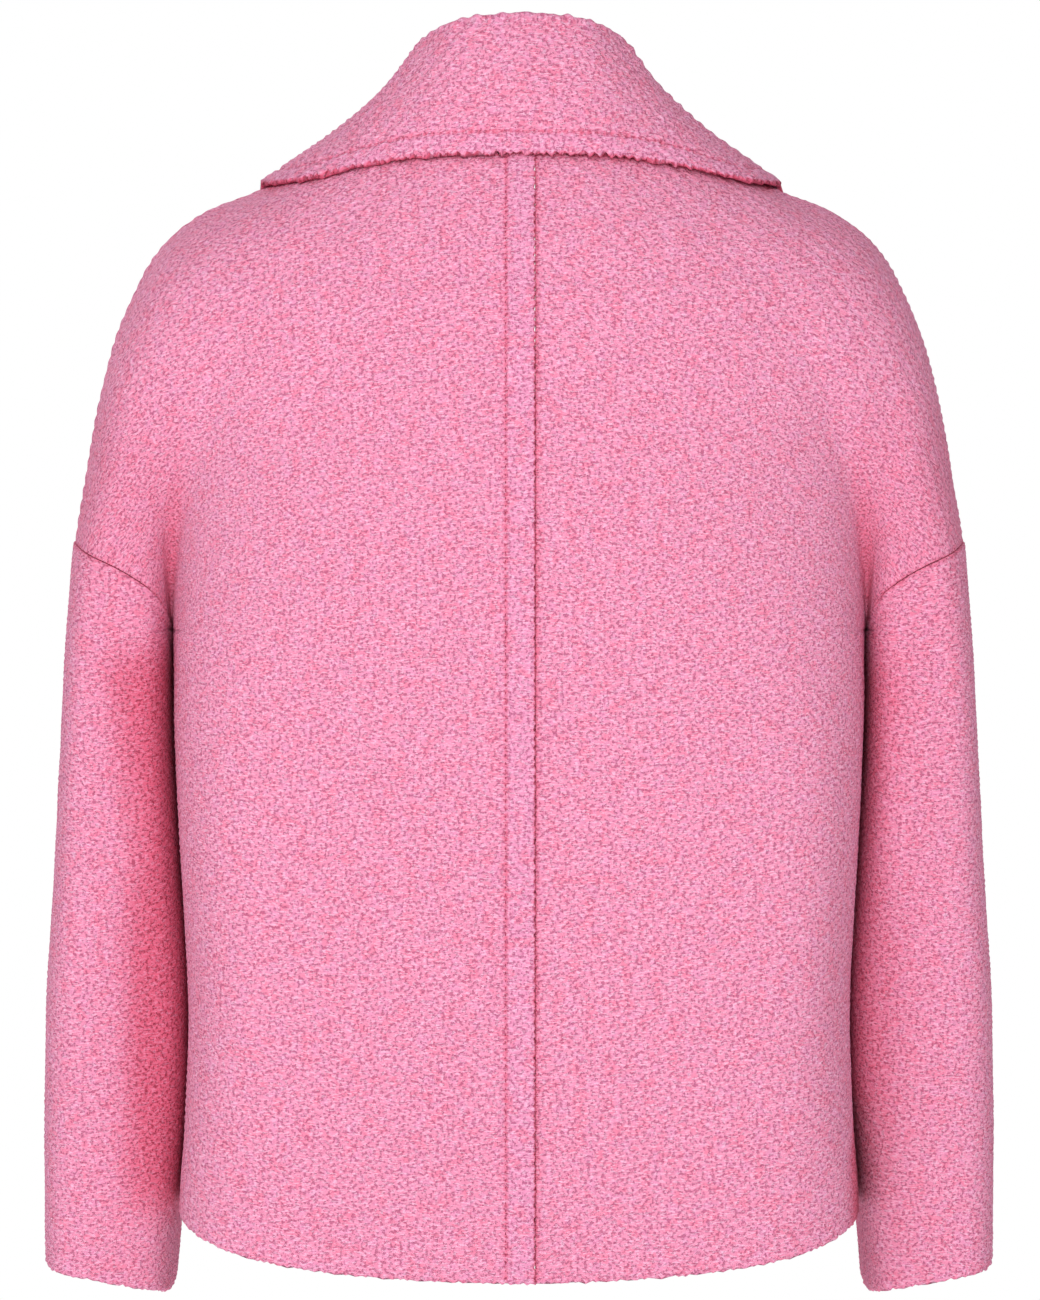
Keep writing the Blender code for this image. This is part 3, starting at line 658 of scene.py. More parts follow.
@dataclass
class FlatPattern:
    """A piece of cloth laid flat, in metres, its grain upright at the anchor column."""

    grid: ClothGrid
    anchor: int
    up: tuple[float, float, float] = (0.0, 0.0, 1.0)
    flat: Array = field(init=False)
    size: tuple[float, float] = field(init=False)
    area: float = field(init=False)

    def __post_init__(self) -> None:
        """Unfolds a coarse copy of the piece, sets its scale and turn, and reads it at every point."""
        grid = self.grid
        rows = self.well_spaced(grid.rows_kept, grid.rows_at, (0, grid.corner_row, len(grid.rows_at) - 1))
        columns = self.well_spaced(grid.columns_kept, grid.columns_at, (0, grid.split, len(grid.columns_at) - 1))
        corners = grid.quads(rows, columns)
        coarse = self.eased(grid.points[np.ix_(rows, columns)])
        place = np.full(grid.points.shape[:2], -1)
        place[np.ix_(rows, columns)] = np.arange(len(rows) * len(columns)).reshape(len(rows), -1)
        quads = place[corners[..., 0], corners[..., 1]]
        loose = self.unfolded(coarse.reshape(-1, 3), quads).reshape(len(rows), len(columns), 2)
        loose = loose @ self.turn(loose, coarse, rows, columns)
        self.flat = self.read(loose, rows, columns)
        self.flat -= self.flat[0, self.anchor]
        self.size = self.smallest_box(loose.reshape(-1, 2)[np.unique(quads)])
        p, q, r, s = (loose.reshape(-1, 2)[quads[:, k]] for k in range(4))
        one, two = r - p, s - q
        self.area = float(np.abs(one[:, 0] * two[:, 1] - one[:, 1] * two[:, 0]).sum() / 2)

    @staticmethod
    def well_spaced(kept: Array, at: Array, fixed: Sequence[int | None], apart: float = 0.0022) -> Array:
        """The kept grid lines without those too close to a fixed one or to the one before."""
        held = [k for k in fixed if k is not None]
        chosen: list[int] = []
        for k in kept.tolist():
            near = [*held, *chosen[-1:]]
            if k in held or min(abs(at[k] - at[other]) for other in near) > apart:
                chosen.append(k)
        return np.array(chosen)

    @staticmethod
    def eased(points: Array, rows: int = 9) -> Array:
        """The points with their depth averaged over some rows, so that the armpit's fold unwraps evenly."""
        window = np.hanning(2 * rows + 3)[1:-1]
        padded = np.pad(points[..., 1], ((rows, rows), (0, 0)), mode="reflect", reflect_type="odd")
        deep = sum(share * padded[k : k + len(points)] for k, share in enumerate(window / window.sum()))
        return np.stack([points[..., 0], deep, points[..., 2]], -1)

    @staticmethod
    def smallest_box(used: Array) -> tuple[float, float]:
        """Width and length of the smallest rectangle round the pattern, tried at every degree."""
        turns = np.radians(np.arange(0, 90))
        x = used[:, 0, None] * np.cos(turns) + used[:, 1, None] * np.sin(turns)
        y = used[:, 1, None] * np.cos(turns) - used[:, 0, None] * np.sin(turns)
        wide, high = np.ptp(x, axis=0), np.ptp(y, axis=0)
        best = int(np.argmin(wide * high))
        return float(wide[best]), float(high[best])

    @staticmethod
    def unfolded(points: Array, quads: Array) -> Array:
        """Blender's angle-based unwrap of a mesh with one border, as a UV place for each point."""
        mesh = bpy.data.meshes.new("unfolding")
        mesh.from_pydata(points.tolist(), [], quads.tolist())
        mesh.uv_layers.new(name="flat")
        thing = bpy.data.objects.new("unfolding", mesh)
        bpy.context.scene.collection.objects.link(thing)
        bpy.context.view_layer.objects.active = thing
        thing.select_set(True)
        bpy.ops.object.mode_set(mode="EDIT")
        bpy.ops.mesh.select_all(action="SELECT")
        bpy.ops.uv.unwrap(method="ANGLE_BASED", margin=0.0)
        bpy.ops.object.mode_set(mode="OBJECT")
        loops = np.empty(len(mesh.loops) * 2, np.float32)
        mesh.uv_layers[0].data.foreach_get("uv", loops)
        flat = np.zeros((len(points), 2))
        flat[quads.ravel()] = loops.reshape(-1, 2)
        bpy.data.objects.remove(thing)
        bpy.data.meshes.remove(mesh)
        return flat

    def turn(self, loose: Array, points: Array, rows: Array, columns: Array) -> Array:
        """Scale and turn from the unwrap to metres: the best fit at the anchor, the median size all over.

        Returns:
            A 2 x 2 matrix for row vectors.
        """
        near = np.abs(columns - self.anchor) <= 12
        down3, down2 = np.diff(points, axis=0)[:, near], np.diff(loose, axis=0)[:, near]
        across3, across2 = np.diff(points, axis=1), np.diff(loose, axis=1)
        out = self.grid.out[np.ix_(rows, columns)][:-1, near]
        right = unit(np.cross(self.up, out))
        above = unit(np.cross(out, right))
        wanted = np.stack([(down3 * right).sum(-1), (down3 * above).sum(-1)], -1).reshape(-1, 2)
        given = down2.reshape(-1, 2)
        side3, side2 = across3[:-1][:, near[:-1]], across2[:-1][:, near[:-1]]
        frame = np.stack([right, above], -2)[:, : side3.shape[1]]
        wanted = np.concatenate([wanted, np.einsum("rcij,rcj->rci", frame, side3).reshape(-1, 2)])
        given = np.concatenate([given, side2.reshape(-1, 2)])
        u, _, vt = np.linalg.svd(given.T @ wanted)
        real = np.linalg.norm(across3, axis=-1)
        drawn = np.linalg.norm(across2, axis=-1)
        return (u @ vt) * np.median(real[drawn > 1e-6] / drawn[drawn > 1e-6])

    def read(self, loose: Array, rows: Array, columns: Array) -> Array:
        """The coarse pattern at every grid point, by straight interpolation along both directions."""
        down, over = self.grid.rows_at, self.grid.columns_at
        across = np.stack([[np.interp(over, over[columns], line) for line in loose[..., k]] for k in (0, 1)], -1)
        return np.stack(
            [[np.interp(down, down[rows], line) for line in across[..., k].T] for k in (0, 1)], -1
        ).transpose(1, 0, 2)


@dataclass
class ClothShell:
    """Builds one closed piece of cloth: fine outside, plain inside, rims between them."""

    name: str
    grid: ClothGrid
    pattern: FlatPattern
    weave: BasketWeave
    wall: float
    creases: tuple[Crease, ...] = ()
    rough: float = 1.0
    outer: Array | None = None

    def faces_out(self) -> tuple[Array, Array, Array]:
        """The outer and inner points, from the form, its creases, weave, grooves and edges, and the shade.

        The shade is painted shade: colour darkened towards crimson at seams, stitches, grooves, creases and in folds,
        where shade falls.
        """
        grid, weave = self.grid, self.weave
        height = weave.height(self.pattern.flat) * self.rough
        soft = sum((crease.height(grid.points) for crease in self.creases), np.zeros(height.shape))
        relief = weave.relief * height
        for edge in grid.edges:
            relief = relief * np.clip(edge.distance / 0.0008, 0.25, 1)
        sunk = np.zeros(height.shape)
        shift = np.zeros_like(grid.points)
        for edge in grid.edges:
            sunk = np.maximum(sunk, edge.sunk())
            shift += edge.shift(grid.points, height)
        outer = grid.points + shift + grid.out * (grid.raised + soft + relief + grid.groove - sunk)[..., None]
        hem = sum((np.where(e.distance < 1e-9, e.roll * 0.9, 0.0) for e in grid.edges), np.zeros(height.shape))
        hem = np.minimum(hem, self.wall * 0.45)
        inner = grid.points + shift + grid.out * (grid.lifted + soft - self.wall + hem)[..., None]
        if grid.foot is not None:
            inner[0] = grid.foot
        # Painted shade: grooves, creases and a strip beside each edge darken the colour, where shade falls.
        shade = grid.shade + 0.7 * np.clip(-grid.groove / 0.0009, 0, 1) + np.clip(-soft / 0.02, 0, 0.2)
        for edge in grid.edges:
            shade = np.maximum(shade, edge.shade * np.exp(-((edge.distance / edge.reach) ** 2)))
        return outer, inner, np.clip(shade, 0, 2) * np.ones(height.shape)

    def build(self, finish: bpy.types.Material) -> bpy.types.Object:
        """Puts the shell into a mesh object with its UV map."""
        grid = self.grid
        outer, inner, shade = self.faces_out()
        self.outer = outer
        height, width = grid.points.shape[:2]
        wrap = width - 1 if grid.ring else width
        lines = (np.arange(height), np.arange(width))
        fine, coarse = grid.quads(*lines), grid.quads(grid.rows_kept, grid.columns_kept)
        count = height * width

        def index(corner: Array, inside: bool) -> Array:
            """Number of the mesh point at a (row, column) of the outer or inner grid."""
            return corner[..., 0] * width + corner[..., 1] % wrap + count * inside

        def flat(corner: Array) -> Array:
            """UV place at a (row, column)."""
            return self.pattern.flat[corner[..., 0], corner[..., 1]]

        kept_row = np.isin(np.arange(height), grid.rows_kept)
        kept_column = np.isin(np.arange(width), grid.columns_kept)
        triangles, triangle_flat = [], []
        for border in grid.borders():
            ahead = np.roll(border, -1, axis=0)
            if grid.ring:
                ahead[-1, 1] = (border[-1, 1] + np.sign(border[1, 1] - border[0, 1])) if len(border) > 1 else 0
            kept = np.flatnonzero(kept_row[border[:, 0]] & kept_column[border[:, 1]])
            following = np.append(kept[1:], kept[0] + len(border))
            which = np.searchsorted(kept, np.arange(len(border)), side="right") - 1
            middle = (kept + following) // 2
            apex_at = np.where(np.arange(len(border)) < middle[which], kept[which], following[which])
            path = np.concatenate([border, ahead[-1:] if grid.ring else border[:1]])
            path = np.concatenate([path, border[1 : 1 + len(border) // 2]]) if not grid.ring else path
            apex = path[np.minimum(apex_at, len(path) - 1)] if grid.ring else border[apex_at % len(border)]
            triangles.append(np.stack([index(ahead, False), index(border, False), index(apex, True)], -1))
            triangle_flat.append(np.stack([flat(ahead), flat(border), flat(apex)], 1))
            one, two, mid = kept, following, middle
            first, tip = border[one], path[np.minimum(mid, len(path) - 1)] if grid.ring else border[mid % len(border)]
            second = path[np.minimum(two, len(path) - 1)] if grid.ring else border[two % len(border)]
            triangles.append(np.stack([index(first, True), index(second, True), index(tip, False)], -1))
            triangle_flat.append(np.stack([flat(first), flat(second), flat(tip)], 1))
        rim, rim_flat = np.concatenate(triangles), np.concatenate(triangle_flat)
        quads = np.concatenate([index(fine, False), index(coarse, True)[:, ::-1]])
        quad_flat = np.concatenate([flat(fine), flat(coarse)[:, ::-1]])
        # The painted shade goes with the points as an attribute, read by the cloth's material.
        return mesh_object(
            self.name, np.concatenate([outer.reshape(-1, 3), inner.reshape(-1, 3)]), quads, rim,
            np.concatenate([quad_flat.reshape(-1, 2), rim_flat.reshape(-1, 2)]),
            {"painted_shade": np.tile(shade.ravel(), 2), "cool": np.tile((grid.cool * np.ones(shade.shape)).ravel(), 2)}, finish,
        )


@dataclass
class Workroom:
    """What every sub-assembly is made with: the form, the cloth and its finish."""

    form: CoatForm
    weave: BasketWeave
    cloth: bpy.types.Material
    thread: bpy.types.Material
    soft_thread: bpy.types.Material

    def sew(self, shell: ClothShell, held: Held, rests_on: Sequence[str], nodes: Sequence[str]) -> bpy.types.Object:
        piece = shell.build(self.cloth)
        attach(piece, "root")
        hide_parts(*nodes)
        return piece


# ---------------------------------------------------------------- backs and fronts


@dataclass
class BodyPanel:
    """A back or a front: torso columns down to the hem, arm columns down to the armhole seam."""

    room: Workroom
    name: str
    side: Side
    hand: Hand
    start_x: Level
    spacing: float
    creases: tuple[Crease, ...] = ()
    lead: tuple[float, ...] = ()
    edge_roll: float = 0.0010
    edge_scallop: float = 0.0
    # edge_shade and edge_reach paint shade beside the free edge, side_shade on the side strip below the armpit,
    # collar_shade under the collar.
    edge_shade: float = 0.6
    edge_reach: float = 0.0028
    edge_closing: float = 0.0
    side_shade: float = 0.3
    hem_roll: float = 0.0015
    hem_scallop: float = 0.0010
    seam_roll: float = 0.0008
    outer_raise: Callable[[Array, Array], Array] | None = None
    inner_raise: Callable[[Array, Array], Array] | None = None
    stitching: Stitching | None = None
    stitch_at: float = 0.0
    from_edge: Array | None = None
    shell: ClothShell | None = None
    collar_shade: tuple[tuple[float, ...], tuple[float, ...]] | None = None

    def grid(self) -> ClothGrid:
        """Lays the panel on its half of the form."""
        form, side = self.room.form, self.side.value
        half = HalfForm(form, self.side, self.start_x)
        seam, hem = rolled(self.seam_roll), rolled(self.hem_roll)
        yoke = Steps.spread(form.armpit, self.spacing, seam, seam)
        body = Steps.spread(form.hem - form.armpit, self.spacing, (0.0,), hem)
        corner = len(yoke.share) - 1
        levels = np.concatenate([yoke.share * form.armpit, form.armpit + body.share[1:] * (form.hem - form.armpit)])
        rows_kept = np.union1d(yoke.kept, corner + body.kept)
        length = half.length(half.torso_length, levels)[:, None]
        widest = float(length.max())
        start = np.array(self.lead if self.lead else rolled(self.edge_roll))
        torso = Steps.spread(widest - start[-1], self.spacing, (0.0,), seam[::-1])
        lead = np.minimum(start / length, start / start[-1] * 0.6)
        torso_share = np.concatenate([lead, lead[:, -1:] + (1 - lead[:, -1:]) * torso.share[1:]], axis=1)
        lead_kept = [0] + list(range(len(start) - 1, 0, -4))[::-1]
        split = torso_share.shape[1] - 1
        arm = Steps.spread(float(half.arm_length[: half.levels_each].max()), self.spacing, (0.0,), seam[::-1])
        columns_kept = np.unique(np.concatenate([lead_kept, len(start) - 1 + torso.kept, split + arm.kept]))
        arm_share = arm.share[1:]
        arm_level = form.armhole(arm_share)
        arm_along = yoke.share[:, None] * arm_level
        torso_along = np.broadcast_to(levels[:, None], torso_share.shape)

        points, out = (half.read(t, torso_along, torso_share) for t in (half.torso, half.torso_out))
        arm_share = np.broadcast_to(arm_share, arm_along.shape)
        arm_points, arm_out = (half.read(t, arm_along, arm_share) for t in (half.arm, half.arm_out))
        if self.side is Side.BACK:
            out[:, 0, 0] = 0
        out[corner + 1 :, split, 1] = 0
        out[corner, split] = (0, 0, -1)
        points[corner:, split, 1] = form.mid_y + side * form.seam / 2
        arm_out[:, -1, 1] = 0
        arm_points[:, -1, 1] = form.mid_y + side * form.seam / 2

        missing = ((0, len(levels) - corner - 1), (0, 0))
        points = np.concatenate([points, np.pad(arm_points, missing + ((0, 0),), mode="edge")], axis=1)
        out = unit(np.concatenate([out, np.pad(arm_out, missing + ((0, 0),), mode="edge")], axis=1))
        along = np.concatenate([torso_along, np.pad(arm_along, missing, mode="edge")], axis=1)
        x = points[..., 0].copy()
        far = 1.0
        from_edge = np.full(along.shape, far)
        from_edge[:, : split + 1] = torso_share * length
        from_side = np.full(along.shape, far)
        from_side[corner:, : split + 1] = (1 - torso_share[corner:]) * length[corner:]
        from_shoulder = np.full(along.shape, far)
        arm_length = half.length(half.arm_length, np.minimum(arm_along, form.armpit))
        from_shoulder[: corner + 1, split + 1 :] = (1 - arm_share) * arm_length
        from_armhole = np.full(along.shape, far)
        from_armhole[: corner + 1, split + 1 :] = (1 - yoke.share[:, None]) * arm_level
        from_armhole[: corner + 1, split] = (1 - yoke.share) * form.armpit
        from_valley = np.full(along.shape, far)
        from_valley[:, : split + 1] = (1 - torso_share) * length
        from_valley[: corner + 1, split + 1 :] = arm_share * arm_length
        # Painted shade: deep in the valley between back and arm, a light wash on the upper arm, which turns away from
        # the light, and on the side strip below the armpit, which faces away from it.
        shade = 0.7 * np.exp(-((from_valley / 0.009) ** 2)) * ramp((along - 0.20) / 0.12)
        upper_arm_shade = 0.30 * ramp((along - 0.17) / 0.10) * (np.arange(along.shape[1]) > split)
        shade = np.maximum(shade, upper_arm_shade)
        reach = 0.050 + 0.040 * ramp((along - 0.595) / 0.06)
        turned = np.exp(-((from_valley / reach) ** 8)) * ramp((along - 0.595) / 0.03)
        shade = np.where(along > form.armpit, np.maximum(shade, self.side_shade * turned), shade)
        # Each edge also paints shade beside it: at seams, the hem and the free edge.
        edges = (
            Edge(along, 0, -1.0, self.seam_roll),
            Edge(form.hem - along, 0, 1.0, self.hem_roll, self.hem_scallop, 0.25),
            Edge(from_edge, 1, -1.0, self.edge_roll, self.edge_scallop, self.edge_shade, self.edge_reach, self.edge_closing),
            Edge(from_side, 1, 1.0, self.seam_roll),
            Edge(from_shoulder, 1, 1.0, self.seam_roll),
            Edge(from_armhole, 0, 1.0, self.seam_roll, closing=0.0001),
        )
        raised = 0 * x if self.outer_raise is None else self.outer_raise(x, along)
        lifted = 0 * x if self.inner_raise is None else self.inner_raise(x, along)
        groove = 0 * x
        if self.stitching is not None:
            groove = self.stitching.groove(from_edge - self.stitch_at, along)
        # Painted shadow of the collar on the back: a soft band and a dark line just below the collar's edge.
        if self.collar_shade is not None:
            edge_level = np.interp(x, *self.collar_shade)
            below = along - edge_level
            shade = np.maximum(shade, 0.50 * np.exp(-((below / 0.0060) ** 2)))
            shade = np.maximum(shade, 1.15 * np.exp(-(((below + 0.0015) / 0.0032) ** 4)))
        if self.hand is Hand.RIGHT:
            points, out = mirrored(points), mirrored(out)
        self.from_edge = from_edge
        columns_at = np.concatenate([
            torso_share[corner] * length[corner], length[corner] + arm.share[1:] * half.arm_length[half.levels_each // 2]
        ])
        return ClothGrid(
            points, out, edges, rows_kept, columns_kept, levels, columns_at, raised, lifted, groove, shade,
            cool=0 * x if self.stitching is None else 1 - ramp((from_edge - self.stitch_at + 0.002) / 0.002),
            corner_row=corner, split=split,
        )

    def sew_stitches(self) -> bpy.types.Object:
        """The thread along the stitch line, on the finished cloth."""
        column = int(np.argmin(np.abs(self.from_edge[len(self.from_edge) // 2] - self.stitch_at)))
        path, out = self.shell.outer[:, column], self.shell.grid.out[:, column]
        thread = self.stitching.sew(f"{self.name}_thread", path, out, self.room.thread)
        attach(thread, "root")
        return thread

    def build(self, rests_on: Sequence[str]) -> bpy.types.Object:
        grid = self.grid()
        self.shell = ClothShell(
            self.name, grid, FlatPattern(grid, 0), self.room.weave, self.room.form.wall, self.creases
        )
        return self.room.sew(self.shell, Held.HUNG, rests_on, [self.name.removesuffix("_cloth")])


@dataclass
class Backs:
    """The two backs, the left one lapped over the right in a raised, topstitched welt seam."""

    room: Workroom
    welt_x: float = -0.0085
    welt_width: float = 0.0155
    welt_raise: float = 0.0018
    spacing: float = 0.0019
    stitching: Stitching = Stitching()
    creases: tuple[Crease, ...] = (
        Crease((0.172, 0.03, -0.30), (0.160, 0.03, -0.60), 0.020, 0.0022),
        Crease((-0.174, 0.03, -0.29), (-0.163, 0.03, -0.61), 0.019, 0.0024),
        Crease((0.150, 0.03, -0.17), (0.095, 0.045, -0.30), 0.016, 0.0008),
        Crease((-0.152, 0.03, -0.18), (-0.090, 0.045, -0.32), 0.016, 0.0007),
    )

    def welt(self, x: Array, along: Array) -> Array:
        """The welt's lift: full from the edge, gone just past its stitch line."""
        return self.welt_raise * (1 - ramp((x - self.welt_x - self.welt_width + 0.0015) / 0.003))

    @property
    def collar_shade(self) -> tuple[tuple[float, ...], tuple[float, ...]]:
        """The collar's edge on the back, where its painted shadow lies: half widths and levels."""
        return (0.0, 0.040, 0.070, 0.100, 0.127, 0.138), (0.0195, 0.0208, 0.0256, 0.0354, 0.0496, 0.0610)

    def lead(self) -> tuple[float, ...]:
        """Grid lines across the welt: the rolled edge, even ones, then close ones at the stitches."""
        even = np.linspace(0.0026, self.welt_width - 0.0026, 7)
        close = self.welt_width + 0.0006 * np.arange(-4, 6)
        return tuple(float(d) for d in np.concatenate([rolled(0.0010), even, close]))

    def build(self) -> list[bpy.types.Object]:
        """Builds both backs."""
        # The left back's welt edge has a narrow line of painted shadow; the right back's side strip gets deep painted
        # shade, as it faces away from the stronger light.
        left = BodyPanel(
            self.room, "back_left_cloth", Side.BACK, Hand.LEFT, lambda along: self.welt_x + 0 * along,
            self.spacing, self.creases[0::2], lead=self.lead(), edge_scallop=0.0009, edge_shade=0.8, edge_reach=0.0007, edge_closing=0.0001,
            outer_raise=self.welt, stitching=self.stitching, stitch_at=self.welt_width, collar_shade=self.collar_shade,
        )
        right = BodyPanel(
            self.room, "back_right_cloth", Side.BACK, Hand.RIGHT,
            lambda along: self.room.form.seam - self.welt_x + 0 * along, self.spacing, self.creases[1::2],
            edge_closing=0.0001, collar_shade=self.collar_shade, side_shade=1.75,
        )
        return [left.build(["collar"]), right.build(["collar"]), left.sew_stitches()]


@dataclass
class Fronts:
    """The two fronts, double-breasted, the right one on top."""

    room: Workroom
    spacing: float = 0.0024
    edge_roll: float = 0.0015
    edge_scallop: float = 0.0008
    creases: tuple[Crease, ...] = (
        Crease((0.165, -0.16, -0.31), (0.150, -0.17, -0.58), 0.020, 0.0022),
        Crease((-0.168, -0.16, -0.30), (-0.152, -0.17, -0.60), 0.019, 0.0020),
        Crease((0.150, -0.16, -0.19), (0.060, -0.19, -0.31), 0.014, 0.0011),
        Crease((-0.152, -0.16, -0.20), (-0.075, -0.19, -0.33), 0.015, 0.0012),
    )

    def build(self) -> list[bpy.types.Object]:
        """Builds both fronts."""
        form = self.room.form
        left = BodyPanel(
            self.room, "front_left_cloth", Side.FRONT, Hand.LEFT, form.front_edge, self.spacing,
            self.creases[0::2], edge_roll=self.edge_roll, edge_scallop=self.edge_scallop, edge_shade=0.2,
        )
        right = BodyPanel(
            self.room, "front_right_cloth", Side.FRONT, Hand.RIGHT, form.front_edge, self.spacing,
            self.creases[1::2], edge_roll=self.edge_roll, edge_scallop=self.edge_scallop, edge_shade=0.2,
            outer_raise=form.top_front_raise, inner_raise=form.top_front_raise,
        )
        return [left.build(["collar"]), right.build(["collar"])]


# ---------------------------------------------------------------- sleeves


@dataclass
class Sleeves:
    """The two sleeves: tubes from the dropped armhole seam to the cuff, seamed under the arm."""

    room: Workroom
    spacing: float = 0.0019
    seam_roll: float = 0.0008
    cuff_roll: float = 0.0015
    cuff_scallop: float = 0.0010
    top_fullness: float = 0.0010
    creases: tuple[Crease, ...] = (
        Crease((0.207, -0.01, -0.40), (0.201, -0.02, -0.57), 0.013, 0.0030),
        Crease((0.250, -0.03, -0.33), (0.213, -0.01, -0.40), 0.011, 0.0010),
        Crease((0.215, -0.15, -0.40), (0.255, -0.14, -0.45), 0.013, 0.0022),
        Crease((0.213, -0.15, -0.47), (0.258, -0.13, -0.50), 0.012, 0.0016),
    )

    def grid(self, hand: Hand) -> ClothGrid:
        """Lays the sleeve on the arm: its back from the armpit out, then its front back in."""
        form = self.room.form
        backs = HalfForm(form, Side.BACK, lambda along: -0.0085 + 0 * along)
        fronts = HalfForm(form, Side.FRONT, form.front_edge)
        girth = float(backs.arm_length[backs.levels_each :].max())
        across = Steps.spread(girth, self.spacing, (0.0,), (0.0,))
        down = Steps.spread(form.cuff - form.armhole_top, self.spacing, rolled(self.seam_roll), rolled(self.cuff_roll)[::-1])
        share = across.share
        top = form.armhole(share) + form.seam * (2 - share)
        bottom = form.cuff_level(share)
        along = top + (bottom - top) * down.share[:, None]
        wide = np.broadcast_to(share, along.shape)
        ring, out = [], []
        for half in (backs, fronts):
            points, normal = half.read(half.arm, along, wide), half.read(half.arm_out, along, wide)
            normal[:, (0, -1), 1] = 0
            ring.append(points)
            out.append(unit(normal))
        points = np.concatenate([ring[0], ring[1][:, -2:0:-1], ring[0][:, :1]], axis=1)
        out = np.concatenate([out[0], out[1][:, -2:0:-1], out[0][:, :1]], axis=1)
        out[0, 0] = out[0, -1] = (-1, 0, 0)
        along = np.concatenate([along, along[:, -2:0:-1], along[:, :1]], axis=1)
        last = len(share) - 1
        kept = np.union1d(across.kept, 2 * last - across.kept)
        starts = np.concatenate([top, top[-2:0:-1], top[:1]])
        ends = np.concatenate([bottom, bottom[-2:0:-1], bottom[:1]])
        # Each edge also paints shade beside it, less at the cuff.
        edges = (
            Edge(along - starts, 0, -1.0, self.seam_roll),
            Edge(ends - along, 0, 1.0, self.cuff_roll, self.cuff_scallop, 0.25),
        )
        around = np.concatenate([share, share[-2:0:-1], share[:1]])
        full = self.top_fullness * np.sin(np.pi / 2 * around) * np.exp(-(along - starts) / 0.035)
        # Painted shade on the sleeve's inner side, towards the body: strong on the left sleeve, which faces away from
        # the stronger light, weaker on the right, with a light wash wider round.
        inside = np.minimum(around, 0.6) * girth
        reach, most = (0.098, 1.0) if hand is Hand.LEFT else (0.088, 0.6)
        reach = reach - 0.014 * ramp((0.46 - along) / 0.10)
        shade = most * np.exp(-((inside / reach) ** 8)) * ramp((along - 0.33) / 0.06) * ramp((0.71 - along) / 0.06)
        shade = np.maximum(shade, 0.28 * np.exp(-((inside / 0.122) ** 6)))
        if hand is Hand.RIGHT:
            points, out = mirrored(points), mirrored(out)
        around_at = np.concatenate([share, 2 - share[-2:0:-1], [2.0]]) * girth
        return ClothGrid(
            points, out, edges, down.kept, kept, down.share * (form.cuff - form.armhole_top), around_at,
            raised=full, lifted=full, shade=shade, ring=True,
        )

    def build(self) -> list[bpy.types.Object]:
        """Builds both sleeves."""
        pieces = []
        for hand, word in ((Hand.LEFT, "left"), (Hand.RIGHT, "right")):
            grid = self.grid(hand)
            creases = self.creases
            if hand is Hand.RIGHT:
                turned = [((-c.start[0], *c.start[1:]), (-c.end[0], *c.end[1:]), c) for c in self.creases]
                creases = tuple(Crease(s, e, c.width * 1.08, c.depth * 0.92) for s, e, c in turned)
            pattern = FlatPattern(grid, grid.points.shape[1] // 2)
            shell = ClothShell(f"sleeve_{word}_cloth", grid, pattern, self.room.weave, self.room.form.wall, creases)
            pieces.append(self.room.sew(shell, Held.HUNG, [f"back_{word}_cloth"], [f"sleeve_{word}"]))
        return pieces


# ---------------------------------------------------------------- collar and lapels


